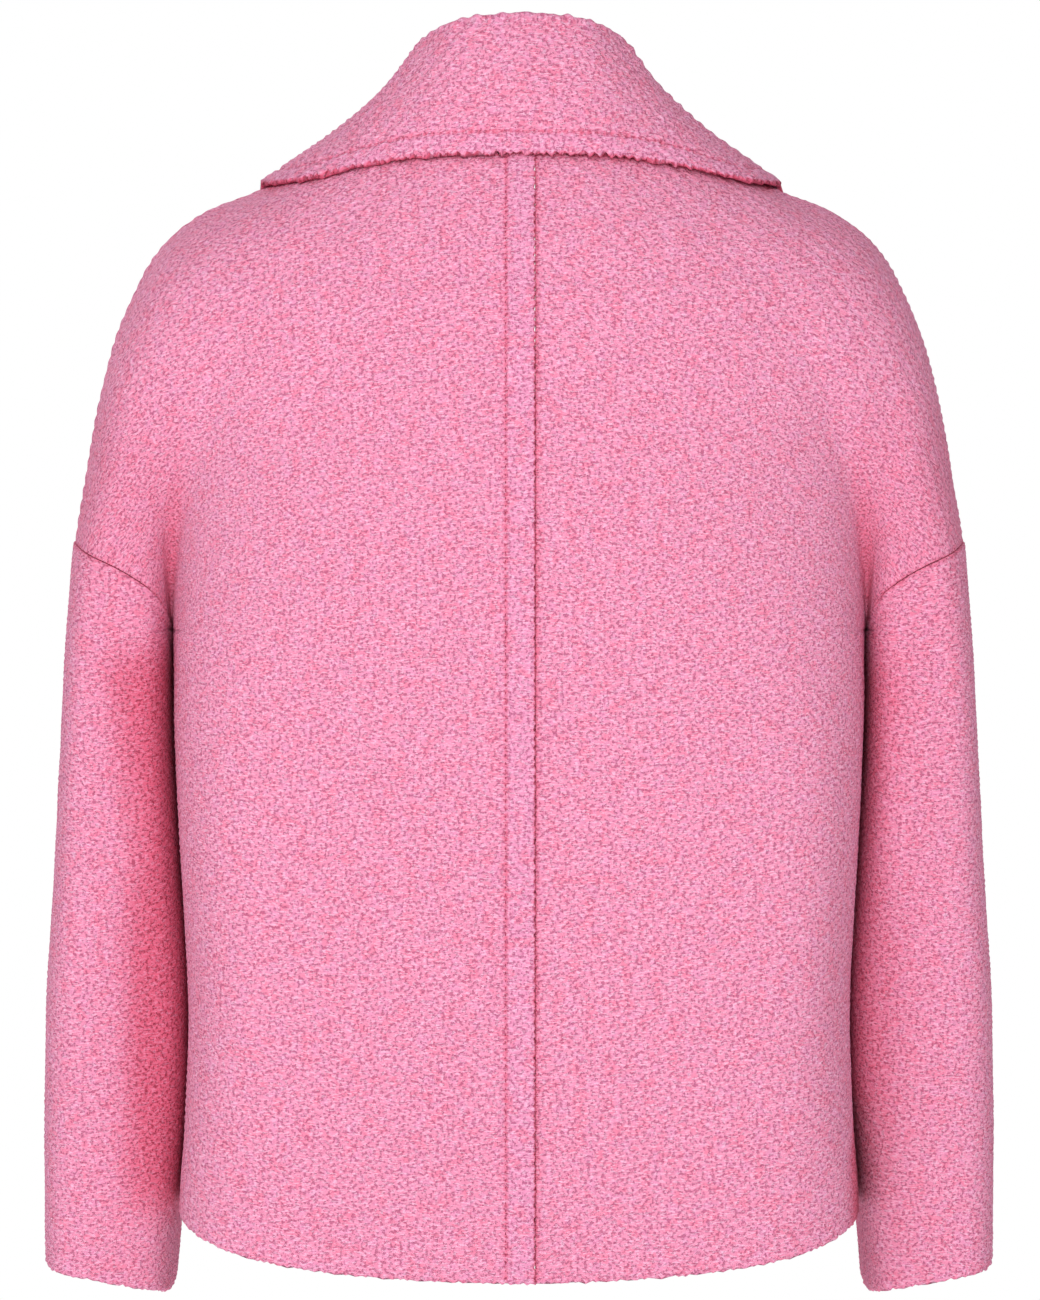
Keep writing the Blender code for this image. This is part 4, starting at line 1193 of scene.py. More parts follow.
@dataclass
class Collar:
    """Stand and fall in one folded piece, mirrored about the centre back, topstitched along its edge."""

    room: Workroom
    spacing: float = 0.0016
    edge_roll: float = 0.0015
    edge_scallop: float = 0.0019
    lean: float = 0.0022
    roll_radius: float = 0.0055
    front_roll: float = 0.78
    half_length: float = 0.30
    stand_height: float = 0.052
    fall_depth: float = 0.082
    stitch_at: float = 0.0122
    stitching: Stitching = Stitching(depth=0.0012, half_width=0.0014)
    shape: SmoothTable = SmoothTable(
        ("station", "neck", "roll_x", "roll_y", "roll_z", "edge_along", "edge_turn", "puff", "clear"),
        (
            (0.0, 0.000, 0.0000, -0.0100, 0.0590, 0.0272, 90.0, 0.010, 0.0035),
            (1.0, 0.304, 0.0325, -0.0170, 0.0560, 0.0290, 69.6, 0.009, 0.0035),
            (2.0, 0.570, 0.0525, -0.0380, 0.0475, 0.0368, 48.3, 0.004, 0.0030),
            (3.0, 0.783, 0.0615, -0.0600, 0.0350, 0.0510, 27.0, 0.001, 0.0024),
            (4.0, 1.000, 0.0685, -0.0790, 0.0200, 0.0660, 0.0, 0.000, 0.0022),
            (5.0, 1.450, 0.0755, -0.0960, -0.0030, 0.0870, -20.0, 0.003, 0.0036),
            (6.0, 1.930, 0.0800, -0.1110, -0.0280, 0.0985, -36.0, 0.006, 0.0040),
        ),
    )

    def neck_line(self, place: Array) -> tuple[Array, Array, Array]:
        """The neck seam: rim point, outward direction and the way up the cloth.

        Args:
            place: 0 at the centre back, 1 at the shoulder seam, 2 at the front edge.
        """
        form = self.room.form
        backs = HalfForm(form, Side.BACK, lambda along: 0 * along)
        fronts = HalfForm(form, Side.FRONT, form.front_edge)
        lines = []
        for half in (backs, fronts):
            rim = np.concatenate([half.torso[0], half.arm[0][1:]])
            out = np.concatenate([half.torso_out[0], half.arm_out[0][1:]])
            if half is fronts:
                rim, out = rim[-2::-1], out[-2::-1]
            lines.append((rim, out, unit(np.cross(np.gradient(rim, axis=0), out))))
        rim, out, up = (np.concatenate(pair) for pair in zip(*lines))
        last = backs.points * 2 - 2
        out[0, 0] = 0
        out[last, 1] = 0
        run = np.concatenate([[0], np.cumsum(np.linalg.norm(np.diff(rim, axis=0), axis=1))])
        shoulder = run[last]
        run = np.where(run <= shoulder, run / shoulder, 1 + (run - shoulder) / (run[-1] - shoulder))
        rim, out, up = (
            np.stack([np.interp(place, run, line[:, k]) for k in range(3)], -1) for line in (rim, out, up)
        )
        return rim, unit(out), unit(up)

    def visible_lines(self, station: Array) -> tuple[Array, Array, int]:
        """Dense lines from the neck seam up the stand, over the roll and down the fall.

        Returns:
            Stations x points x 3, the inner foot points, and the number of points before the fall.
        """
        form = self.room.form
        row = {name: self.shape.read(name, station) for name in self.shape.columns}
        rim, rim_out, up = self.neck_line(row["neck"])
        foot = rim - rim_out * form.wall + up * form.neck_seam
        foot_back = rim + up * form.neck_seam
        top = np.stack([row["roll_x"], row["roll_y"], row["roll_z"]], -1)
        along, turn = row["edge_along"], np.radians(row["edge_turn"])
        edge_x = form.size("ridge_x", along) * np.cos(turn) ** (2 / form.size("square", along))
        edge = form.body_point(edge_x, along, np.where(turn > 0, 1.0, -1.0))
        away = unit((edge - (0, form.mid_y, 0)) * (1, 1, 0))
        out = unit(away * 0.6 + (0, 0, 0.8))
        edge = edge + out * (row["clear"][:, None] + form.wall)
        radius = (self.roll_radius * (1 - (1 - self.front_roll) * ramp((station - 4) / 2)))[:, None]
        lean = unit(top - foot)
        turned = unit(away - lean * (away * lean).sum(-1, keepdims=True))
        share = np.linspace(0, 1, 40)[:, None, None]
        stand = foot + (top - turned * radius - foot) * share
        angle = np.pi * np.linspace(0, 1, 24)[1:-1, None, None]
        over = top + radius * (lean * np.sin(angle) - turned * np.cos(angle))
        begin = top + turned * radius
        middle = (begin + edge) / 2 + out * row["puff"][:, None]
        t = np.linspace(0, 1, 60)[:, None, None]
        fall = begin * (1 - t) ** 2 + middle * 2 * t * (1 - t) + edge * t**2
        lines = np.concatenate([stand, over, fall]).transpose(1, 0, 2)
        return lines, foot_back, len(stand) + len(over)

    def grid(self) -> ClothGrid:
        """Reads those lines on an even grid, with close rows at the stitch line and the edge."""
        form = self.room.form
        count = 4 * round(self.half_length / self.spacing / 4)
        station = np.linspace(0, 6, count + 1)
        lines, foot_back, before = self.visible_lines(station)
        steps = np.linalg.norm(np.diff(lines, axis=1), axis=-1)
        run = np.concatenate([np.zeros((len(lines), 1)), np.cumsum(steps, axis=1)], axis=1)
        up_length, whole = run[:, before : before + 1], run[:, -1:]
        stand = Steps.spread(self.stand_height, self.spacing, (0.0,), (0.0,))
        close = tuple(self.stitch_at + 0.0007 * k for k in range(-4, 5))
        between = tuple(np.linspace(0.0015, self.stitch_at - 0.0042, 6)[1:])
        end = sorted({*rolled(self.edge_roll), *between, *close})
        fall = Steps.spread(self.fall_depth, self.spacing, (0.0,), end[::-1])
        fall_length = whole - up_length
        last = np.array(end[::-1])
        even = fall.share[: len(fall.share) - len(end) + 1]
        fall_run = np.concatenate([
            even / even[-1] * (fall_length - last[0]),
            fall_length - last[1:],
        ], axis=1)
        place = np.concatenate([stand.share * up_length, up_length + fall_run[:, 1:]], axis=1) / whole
        face = resampled(lines, place)
        edge_rows = np.arange(len(stand.share) - 1 + len(even) - 1, place.shape[1])
        kept_tail = edge_rows[np.isin(edge_rows, edge_rows[::4]) | (edge_rows == edge_rows[-1])]
        kept = np.unique(np.concatenate([stand.kept, len(stand.share) - 1 + np.arange(0, len(even), 4), kept_tail]))
        distance = (1 - place) * whole
        face = np.concatenate([mirrored(face[:0:-1]), face])
        share_up = np.clip(place * whole / up_length, 0, 1) * 7 / 7
        share_down = np.clip((place * whole - up_length) / fall_length, 0, 1)
        lean = self.lean * (ramp(share_up) - 0.5 * ramp(share_down))
        lean = np.concatenate([lean[:0:-1], lean])
        face[..., 0] -= lean
        across, along = np.gradient(face, axis=1), np.gradient(face, axis=0)
        out = unit(np.cross(along, across))
        distance = np.concatenate([distance[:0:-1], distance])
        whole = np.concatenate([whole[:0:-1], whole])
        from_end = np.abs(np.linspace(-1, 1, len(face)))[:, None] * np.ones_like(distance)
        from_end = (1 - from_end) * self.half_length
        edge_run = np.concatenate([[0], np.cumsum(np.linalg.norm(np.diff(face[:, -1], axis=0), axis=1))])
        groove = self.stitching.groove(distance - self.stitch_at, edge_run[:, None] * np.ones_like(distance))
        # The collar's outer edge carries a narrow line of full painted shadow: the shaded rim and the shadow under it.
        edges = (
            Edge(distance, 1, 1.0, self.edge_roll, self.edge_scallop, 1.0, 0.0008),
            Edge(from_end, 0, 1.0, self.edge_roll, 0.0, 0.1),
        )
        stations = np.unique(np.concatenate([np.arange(0, count + 1, 4), np.array([count])]))
        stations = np.unique(np.concatenate([count - stations, count + stations]))
        foot = np.concatenate([mirrored(foot_back[:0:-1]), foot_back])
        return ClothGrid(
            face, out, edges, stations, kept, np.arange(len(face)) * self.spacing,
            place[0] * whole[len(whole) // 2], groove=groove, foot=foot,
            cool=0.8 * (1 - ramp((distance - self.stitch_at + 0.002) / 0.003)),
        )

    def build(self) -> bpy.types.Object:
        grid = self.grid()
        grid = ClothGrid(
            grid.points.transpose(1, 0, 2), grid.out.transpose(1, 0, 2),
            tuple(Edge(e.distance.T, 1 - e.axis, e.sign, e.roll, e.scallop, e.shade, e.reach) for e in grid.edges),
            grid.columns_kept, grid.rows_kept, grid.columns_at, grid.rows_at, groove=grid.groove.T, foot=grid.foot,
            cool=grid.cool.T,
        )
        pattern = FlatPattern(grid, grid.points.shape[1] // 2)
        shell = ClothShell("collar_cloth", grid, pattern, self.room.weave, self.room.form.wall, rough=1.5)
        piece = self.room.sew(shell, Held.FOLDED, ["back_left_cloth", "back_right_cloth"], ["collar"])
        self.sew_stitches(shell)
        return piece

    def sew_stitches(self, shell: ClothShell) -> bpy.types.Object:
        """The thread along the collar's outer edge."""
        grid = shell.grid
        row = int(np.argmin(np.abs(grid.edges[0].distance[:, grid.points.shape[1] // 2] - self.stitch_at)))
        thread = self.stitching.sew("collar_cloth_thread", shell.outer[row], grid.out[row], self.room.soft_thread)
        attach(thread, "root")
        return thread


@dataclass
class Lapels:
    """The facings where they show, turned back above the top button."""

    room: Workroom
    spacing: float = 0.0020
    outer_x: float = 0.120
    outer_along: float = 0.118
    top_along: float = 0.003
    lift: float = 0.0009
    under_start: float = 0.52
    over_start: float = 0.04
    length: float = 0.25
    width: float = 0.085
    edge_roll: float = 0.0015
    edge_scallop: float = 0.0008

    def grid(self, hand: Hand, begin: float) -> ClothGrid:
        """Rows run from the break up, columns from the roll line to the outer edge."""
        form = self.room.form
        rise = Steps.spread(self.length * (1 - begin), self.spacing, rolled(self.edge_roll), rolled(self.edge_roll)[::-1])
        over = Steps.spread(self.width, self.spacing, (0.0,), rolled(self.edge_roll)[::-1])
        f, g = begin + (1 - begin) * rise.share[:, None], over.share
        roll_along = form.break_level - 0.006 + (self.top_along - form.break_level + 0.006) * f
        outer_along = form.break_level + (self.outer_along - form.break_level) * f
        roll_x = form.front_edge(roll_along) + 0.0005
        outer_x = -form.lap + 0.004 + (self.outer_x + form.lap - 0.004) * f**0.92
        x, along = roll_x + (outer_x - roll_x) * g, roll_along + (outer_along - roll_along) * g
        point, out = form.front_surface(x, along)
        under = self.lift + (form.top_front_raise(x - 0.008, along) if hand is Hand.RIGHT else 0 * x)
        points = point + out * (under + form.wall)[..., None]
        width = np.linalg.norm(points[:, -1] - points[:, 0], axis=-1)[:, None]
        edges = (
            Edge((1 - g) * width, 1, 1.0, self.edge_roll, self.edge_scallop),
            Edge(np.broadcast_to((1 - rise.share[:, None]) * self.length * (1 - begin), x.shape), 0, 1.0, self.edge_roll),
            Edge(np.broadcast_to(rise.share[:, None] * self.length * (1 - begin), x.shape), 0, -1.0, self.edge_roll),
        )
        rows_at, columns_at = rise.share * self.length * (1 - begin), over.share * self.width
        if hand is Hand.RIGHT:
            points, out = mirrored(points), mirrored(out)
        return ClothGrid(points, out, edges, rise.kept, over.kept, rows_at, columns_at)

    def build(self) -> list[bpy.types.Object]:
        """Builds both lapels."""
        pieces = []
        for hand, word, begin in ((Hand.LEFT, "left", self.under_start), (Hand.RIGHT, "right", self.over_start)):
            grid = self.grid(hand, begin)
            shell = ClothShell(
                f"lapel_{word}_cloth", grid, FlatPattern(grid, 0), self.room.weave, self.room.form.wall
            )
            pieces.append(self.room.sew(shell, Held.FOLDED, [f"front_{word}_cloth"], [f"lapel_{word}"]))
        return pieces


# ---------------------------------------------------------------- buttons


@dataclass
class Buttons:
    """Two rows of three buttons on the top front: dished, with four holes and two bars of thread."""

    room: Workroom
    finish: bpy.types.Material
    diameter: float = 0.030
    thick: float = 0.0045
    out_x: float = 0.043
    levels: tuple[float, float, float] = (0.292, 0.400, 0.508)
    sunk: float = 0.0004
    hole_at: float = 0.0023
    hole_radius: float = 0.0012
    hole_depth: float = 0.0020
    sides: int = 72

    def rings(self) -> tuple[Array, Array]:
        """Radius and height of each ring, from the middle of the top over the edge to the base.

        The top is 0.72 of the thickness, then a rim rises by a smooth step. The edge is a half round.
        """
        top = np.concatenate([np.linspace(0.03, 0.60, 20), [0.64, 0.68, 0.72, 0.76, 0.80, 0.86]])
        height = 0.72 + 0.28 * ramp((top - 0.60) / 0.16)
        turn = np.radians([20, 40, 60, 75, 90])
        edge, edge_height = 0.86 + 0.14 * np.sin(turn), 0.5 + 0.5 * np.cos(turn)
        under, under_height = np.array([1.0, 0.985, 0.95, 0.90, 0.45]), np.array([0.3, 0.12, 0.03, 0.0, 0.0])
        radius = np.concatenate([top, edge, under]) * self.diameter / 2
        return radius, np.concatenate([height, edge_height, under_height]) * self.thick

    def disc(self) -> tuple[Array, Array, Array]:
        """One button lying flat: points, quads and the triangles round its two poles."""
        radius, height = self.rings()
        turn = 2 * np.pi * np.arange(self.sides) / self.sides
        x, y = radius[:, None] * np.cos(turn), radius[:, None] * np.sin(turn)
        z = height[:, None] * np.ones_like(x)
        corners = [(a * self.hole_at, b * self.hole_at) for a in (-1, 1) for b in (-1, 1)]
        near = np.min([np.hypot(x - a, y - b) for a, b in corners], axis=0) / self.hole_radius
        above = np.arange(len(radius))[:, None] < 20
        z = z - above * self.hole_depth * (1 - ramp((near - 0.55) / 0.6))
        points = np.concatenate([np.stack([x, y, z], -1).reshape(-1, 3), [(0, 0, height[0]), (0, 0, 0)]])
        ring, k = np.meshgrid(np.arange(len(radius) - 1) * self.sides, np.arange(self.sides), indexing="ij")
        after = (k + 1) % self.sides
        quads = np.stack([ring + k, ring + self.sides + k, ring + self.sides + after, ring + after], -1).reshape(-1, 4)
        k, after, last = np.arange(self.sides), (np.arange(self.sides) + 1) % self.sides, (len(radius) - 1) * self.sides
        poles = [np.stack([k, after, 0 * k + len(points) - 2], -1), np.stack([last + after, last + k, 0 * k + len(points) - 1], -1)]
        return points, quads, np.concatenate(poles)

    def place(self, x: float, along: float) -> tuple[Array, Array]:
        """Where a button lies on the right front, and the directions sideways, up and out of the cloth."""
        form = self.room.form
        at, level = np.array([[x]]), np.array([[along]])
        point, out = form.front_surface(at, level)
        point = point + out * (form.top_front_raise(at, level)[..., None] - self.sunk)
        point, out = mirrored(point)[0, 0], unit(mirrored(out)[0, 0])
        side = unit(np.cross((0.0, 0.0, 1.0), out))
        return point, np.stack([side, np.cross(out, side), out])

    def build(self) -> list[bpy.types.Object]:
        """Builds six buttons, each in place of its CAD node, and their thread in one mesh."""
        points, quads, triangles = self.disc()
        bar, bar_triangles, bar_quads = Stitching().stitch()
        bars = [bar * (self.hole_at * 1.35, 0.0008, 0.0007) + (0, b * self.hole_at, 0.72 * self.thick) for b in (-1, 1)]
        pieces, thread = [], []
        for word, x in (("outer", self.out_x), ("inner", -self.out_x)):
            for row, along in enumerate(self.levels, start=1):
                centre, frame = self.place(x, along)
                node = f"button_{word}_{row}"
                piece = mesh_object(f"{node}_four_holed", centre + points @ frame, quads, triangles, None, {}, self.finish)
                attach(piece, "root")
                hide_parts(node)
                pieces.append(piece)
                thread += [centre + line @ frame for line in bars]
        step = (np.arange(len(thread)) * len(bar))[:, None, None]
        sewn = mesh_object(
            "button_threads", np.concatenate(thread), (bar_quads + step).reshape(-1, 4),
            (bar_triangles + step).reshape(-1, 3), None, {}, self.room.thread,
        )
        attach(sewn, "root")
        LOG.info("buttons: %d faces each", len(pieces[0].data.polygons))
        return [*pieces, sewn]


# ---------------------------------------------------------------- finishes


@dataclass(frozen=True)
class WeaveSpot:
    """One mark in each cell of the weave, in metres on the flat pattern.

    The cells are a checkerboard: `even` and `odd` are the mark's strengths on its two colours.
    """

    right: float
    above: float
    half_width: float
    half_height: float
    slant: float
    even: float
    odd: float


class NodeBench:
    """Small helper that adds and links shader nodes."""

    def __init__(self, tree: bpy.types.NodeTree) -> None:
        """Keeps the tree that is worked on."""
        self.tree = tree

    def add(self, kind: str, inputs: dict | None = None, **settings: object) -> bpy.types.Node:
        """Adds a node, sets its properties, and fills or links its inputs by name or number."""
        node = self.tree.nodes.new(kind)
        for name, value in settings.items():
            setattr(node, name, value)
        for name, value in (inputs or {}).items():
            socket = node.inputs[name]
            if isinstance(value, bpy.types.NodeSocket):
                self.tree.links.new(value, socket)
            else:
                socket.default_value = value
        return node

    def maths(self, operation: str, *values: object) -> bpy.types.NodeSocket:
        """A Math node's result."""
        return self.add("ShaderNodeMath", dict(enumerate(values)), operation=operation).outputs[0]

    def sum_of(self, one: object, times: object, plus: object) -> bpy.types.NodeSocket:
        """One value times another, plus a third."""
        return self.maths("MULTIPLY_ADD", one, times, plus)

    def vector(self, operation: str, *values: object) -> bpy.types.NodeSocket:
        """A Vector Math node's vector result."""
        return self.add("ShaderNodeVectorMath", dict(enumerate(values)), operation=operation).outputs[0]

    def dot(self, one: object, two: object) -> bpy.types.NodeSocket:
        """The dot product of two vectors."""
        return self.add("ShaderNodeVectorMath", {0: one, 1: two}, operation="DOT_PRODUCT").outputs["Value"]

    def smooth(self, value: object, low: float, high: float, start: float = 0.0, end: float = 1.0) -> bpy.types.NodeSocket:
        """A value eased from start to end as it goes from low to high."""
        inputs = {"Value": value, "From Min": low, "From Max": high, "To Min": start, "To Max": end}
        return self.add("ShaderNodeMapRange", inputs, interpolation_type="SMOOTHSTEP").outputs[0]

    def noise(self, place: object, size: float, detail: float, dimensions: str = "2D") -> bpy.types.Node:
        """A noise whose patches are about this size in metres."""
        inputs = {"Vector": place, "Scale": 1 / size, "Detail": detail}
        return self.add("ShaderNodeTexNoise", inputs, noise_dimensions=dimensions)

    def mix(self, share: object, one: object, two: object, blend: str = "MIX") -> bpy.types.NodeSocket:
        """Two colours mixed."""
        node = self.add("ShaderNodeMix", data_type="RGBA", blend_type=blend)
        for number, value in ((0, share), (6, one), (7, two)):
            if isinstance(value, bpy.types.NodeSocket):
                self.tree.links.new(value, node.inputs[number])
            else:
                node.inputs[number].default_value = value
        return node.outputs[2]


def new_group(name: str, inputs: dict[str, str], outputs: dict[str, str]) -> tuple[bpy.types.NodeTree, NodeBench, object, object]:
    """A shader node group with named sockets.

    Args:
        name: the group's name.
        inputs: socket kinds by name.
        outputs: socket kinds by name.

    Returns:
        The group, a bench for it, and its input and output nodes.
    """
    tree = bpy.data.node_groups.new(name, "ShaderNodeTree")
    for in_out, sockets in (("INPUT", inputs), ("OUTPUT", outputs)):
        for socket, kind in sockets.items():
            tree.interface.new_socket(socket, in_out=in_out, socket_type=kind)
    bench = NodeBench(tree)
    return tree, bench, bench.add("NodeGroupInput"), bench.add("NodeGroupOutput")


@dataclass(frozen=True)
class WeavePattern:
    """The weave as masks and a height: shared by every piece of cloth.

    A pale ply shows as a light dash in each cell, its colour partly a painted highlight on the yarn's top. Dark
    hollows, painted shade in the weave's recesses, lie beside and below it, and the smooth float fills the
    rest. Every mark is moved and weakened by chance, as in a napped, uneven yarn.
    """

    weave: BasketWeave
    drift: float = 0.0009
    drift_size: float = 0.0050
    jitter: float = 0.0007
    dashes: tuple[WeaveSpot, ...] = (
        WeaveSpot(0.0, 0.0, 0.00180, 0.00046, 0.0, 1.0, 0.65),
        WeaveSpot(0.0019, 0.0022, 0.00130, 0.00042, 0.06, 0.6, 0.8),
    )
    hollows: tuple[WeaveSpot, ...] = (
        WeaveSpot(-0.00027, -0.00175, 0.00062, 0.00088, -0.15, 1.0, 0.8),
        WeaveSpot(0.00255, -0.00086, 0.00095, 0.00050, 0.18, 1.0, 0.9),
        WeaveSpot(0.00200, -0.00235, 0.00095, 0.00048, -0.05, 0.9, 0.8),
        WeaveSpot(-0.00150, 0.00105, 0.00062, 0.00060, 0.25, 0.8, 1.0),
        WeaveSpot(0.00080, 0.00200, 0.00055, 0.00045, 0.10, 0.7, 0.9),
    )
    floats: tuple[WeaveSpot, ...] = (WeaveSpot(-0.0019, -0.0025, 0.0013, 0.0023, 0.0, 0.9, 0.4),)

    def spot_group(self) -> bpy.types.NodeTree:
        """One mark in each cell.

        The place, counted in cells from the mark's centre, is brought to the nearest cell and turned
        back to metres. The mark is 1 inside the ellipse of x and y - slant * x. A chance drawn for each
        cell moves it and weakens it.
        """
        names = ("S", "T", "Centre S", "Centre T", "Slant", "Across", "Upright", "Even", "Lead")
        tree, bench, given, result = new_group(
            "weave_spot", {name: "NodeSocketFloat" for name in names}, {"Mask": "NodeSocketFloat"}
        )
        at = {name: given.outputs[name] for name in names}
        right, up = self.weave.right, self.weave.up
        s = bench.maths("SUBTRACT", at["S"], at["Centre S"])
        t = bench.maths("SUBTRACT", at["T"], at["Centre T"])
        whole_s, whole_t = bench.maths("ROUND", s), bench.maths("ROUND", t)
        cell = bench.add("ShaderNodeCombineXYZ", {"X": whole_s, "Y": whole_t, "Z": at["Slant"]})
        chance = bench.add("ShaderNodeTexWhiteNoise", {"Vector": cell.outputs[0]}, noise_dimensions="3D")
        moved = bench.add("ShaderNodeSeparateColor", {"Color": chance.outputs["Color"]}).outputs
        s, t = bench.maths("SUBTRACT", s, whole_s), bench.maths("SUBTRACT", t, whole_t)
        x, y = (
            bench.sum_of(s, right[k], bench.sum_of(t, up[k], bench.sum_of(moved[k], self.jitter * 2, -self.jitter)))
            for k in (0, 1)
        )
        y = bench.maths("SUBTRACT", y, bench.maths("MULTIPLY", x, at["Slant"]))
        tall = bench.maths("MULTIPLY", bench.maths("MULTIPLY", y, y), at["Upright"])
        from_middle = bench.sum_of(bench.maths("MULTIPLY", x, x), at["Across"], tall)
        mask = bench.smooth(from_middle, 0.0, 1.7, 1.0, 0.0)
        colour = bench.maths("PINGPONG", bench.maths("ADD", whole_s, whole_t), 1.0)
        strength = bench.sum_of(at["Lead"], colour, at["Even"])
        kept = bench.smooth(moved[2], 0.0, 0.8, 0.15, 1.0)
        mask = bench.maths("MULTIPLY", mask, bench.maths("MULTIPLY", kept, strength))
        bench.tree.links.new(mask, result.inputs["Mask"])
        return tree

    def marks(
        self, bench: NodeBench, group: bpy.types.NodeTree, cells: Sequence[object], spots: Sequence[WeaveSpot]
    ) -> bpy.types.NodeSocket:
        """The strongest of several marks at each place.

        Args:
            bench: where the nodes go.
            group: the group for one mark.
            cells: the place counted in cells, along both waves.
            spots: the marks.
        """
        found = None
        for spot in spots:
            centre = [float(np.dot((spot.right, spot.above), wave)) for wave in self.weave.waves]
            node = bench.add("ShaderNodeGroup", node_tree=group)
            for socket, value in zip(node.inputs, (
                *cells, *centre, spot.slant, spot.half_width**-2, spot.half_height**-2, spot.even, spot.odd - spot.even
            )):
                if isinstance(value, bpy.types.NodeSocket):
                    bench.tree.links.new(value, socket)
                else:
                    socket.default_value = value
            found = node.outputs[0] if found is None else bench.maths("MAXIMUM", found, node.outputs[0])
        return found

    def group(self) -> bpy.types.NodeTree:
        """The whole pattern: masks for dash, hollow and float, patchy tints, and the height."""
        outputs = {name: "NodeSocketFloat" for name in ("Dash", "Hollow", "Float", "Cool", "Warm", "Height")}
        tree, bench, given, result = new_group("basket_weave", {"Flat": "NodeSocketVector"}, outputs)
        spot = self.spot_group()
        flat = given.outputs["Flat"]
        shaken = bench.vector("SUBTRACT", bench.noise(flat, self.drift_size, 1.0).outputs["Color"], (0.5, 0.5, 0.5))
        slow = bench.vector("SUBTRACT", bench.noise(flat, 0.034, 0.0).outputs["Color"], (0.5, 0.5, 0.5))
        place = bench.vector("ADD", flat, bench.vector("MULTIPLY", shaken, (self.drift * 2, self.drift * 2, 0.0)))
        place = bench.vector("ADD", place, bench.vector("MULTIPLY", slow, (0.005, 0.005, 0.0)))
        cells = [bench.dot(place, (*wave, 0.0)) for wave in self.weave.waves]
        plies = bench.noise(bench.vector("MULTIPLY", flat, (0.42, 1.5, 1.0)), 0.0012, 1.0).outputs[0]
        curls = bench.noise(flat, 0.0019, 2.0).outputs[0]
        fuzz = bench.noise(flat, 0.0007, 1.0).outputs[0]
        ply = bench.smooth(plies, 0.56, 0.70, 0.0, 0.8)
        pit = bench.smooth(curls, 0.46, 0.32, 0.0, 0.8)
        dash = bench.maths("MULTIPLY", self.marks(bench, spot, cells, self.dashes), bench.smooth(fuzz, 0.30, 0.52, 0.35, 1.0))
        dash = bench.maths("MAXIMUM", dash, ply)
        hollow = bench.maths("MULTIPLY", self.marks(bench, spot, cells, self.hollows), bench.smooth(fuzz, 0.62, 0.42, 0.45, 1.0))
        hollow = bench.maths("MAXIMUM", hollow, pit)
        smooth_float = self.marks(bench, spot, cells, self.floats)
        patch = bench.noise(flat, 0.0070, 1.0).outputs[0]
        warmth = bench.noise(bench.vector("ADD", flat, (0.37, 0.11, 0.0)), 0.0085, 1.0).outputs[0]
        height = bench.sum_of(fuzz, 0.50, bench.maths("MULTIPLY", plies, 0.70))
        height = bench.sum_of(pit, -1.0, height)
        cool, warm = bench.smooth(patch, 0.50, 0.68), bench.smooth(warmth, 0.50, 0.68)
        for name, socket in zip(outputs, (dash, hollow, smooth_float, cool, warm, height)):
            bench.tree.links.new(socket, result.inputs[name])
        return tree


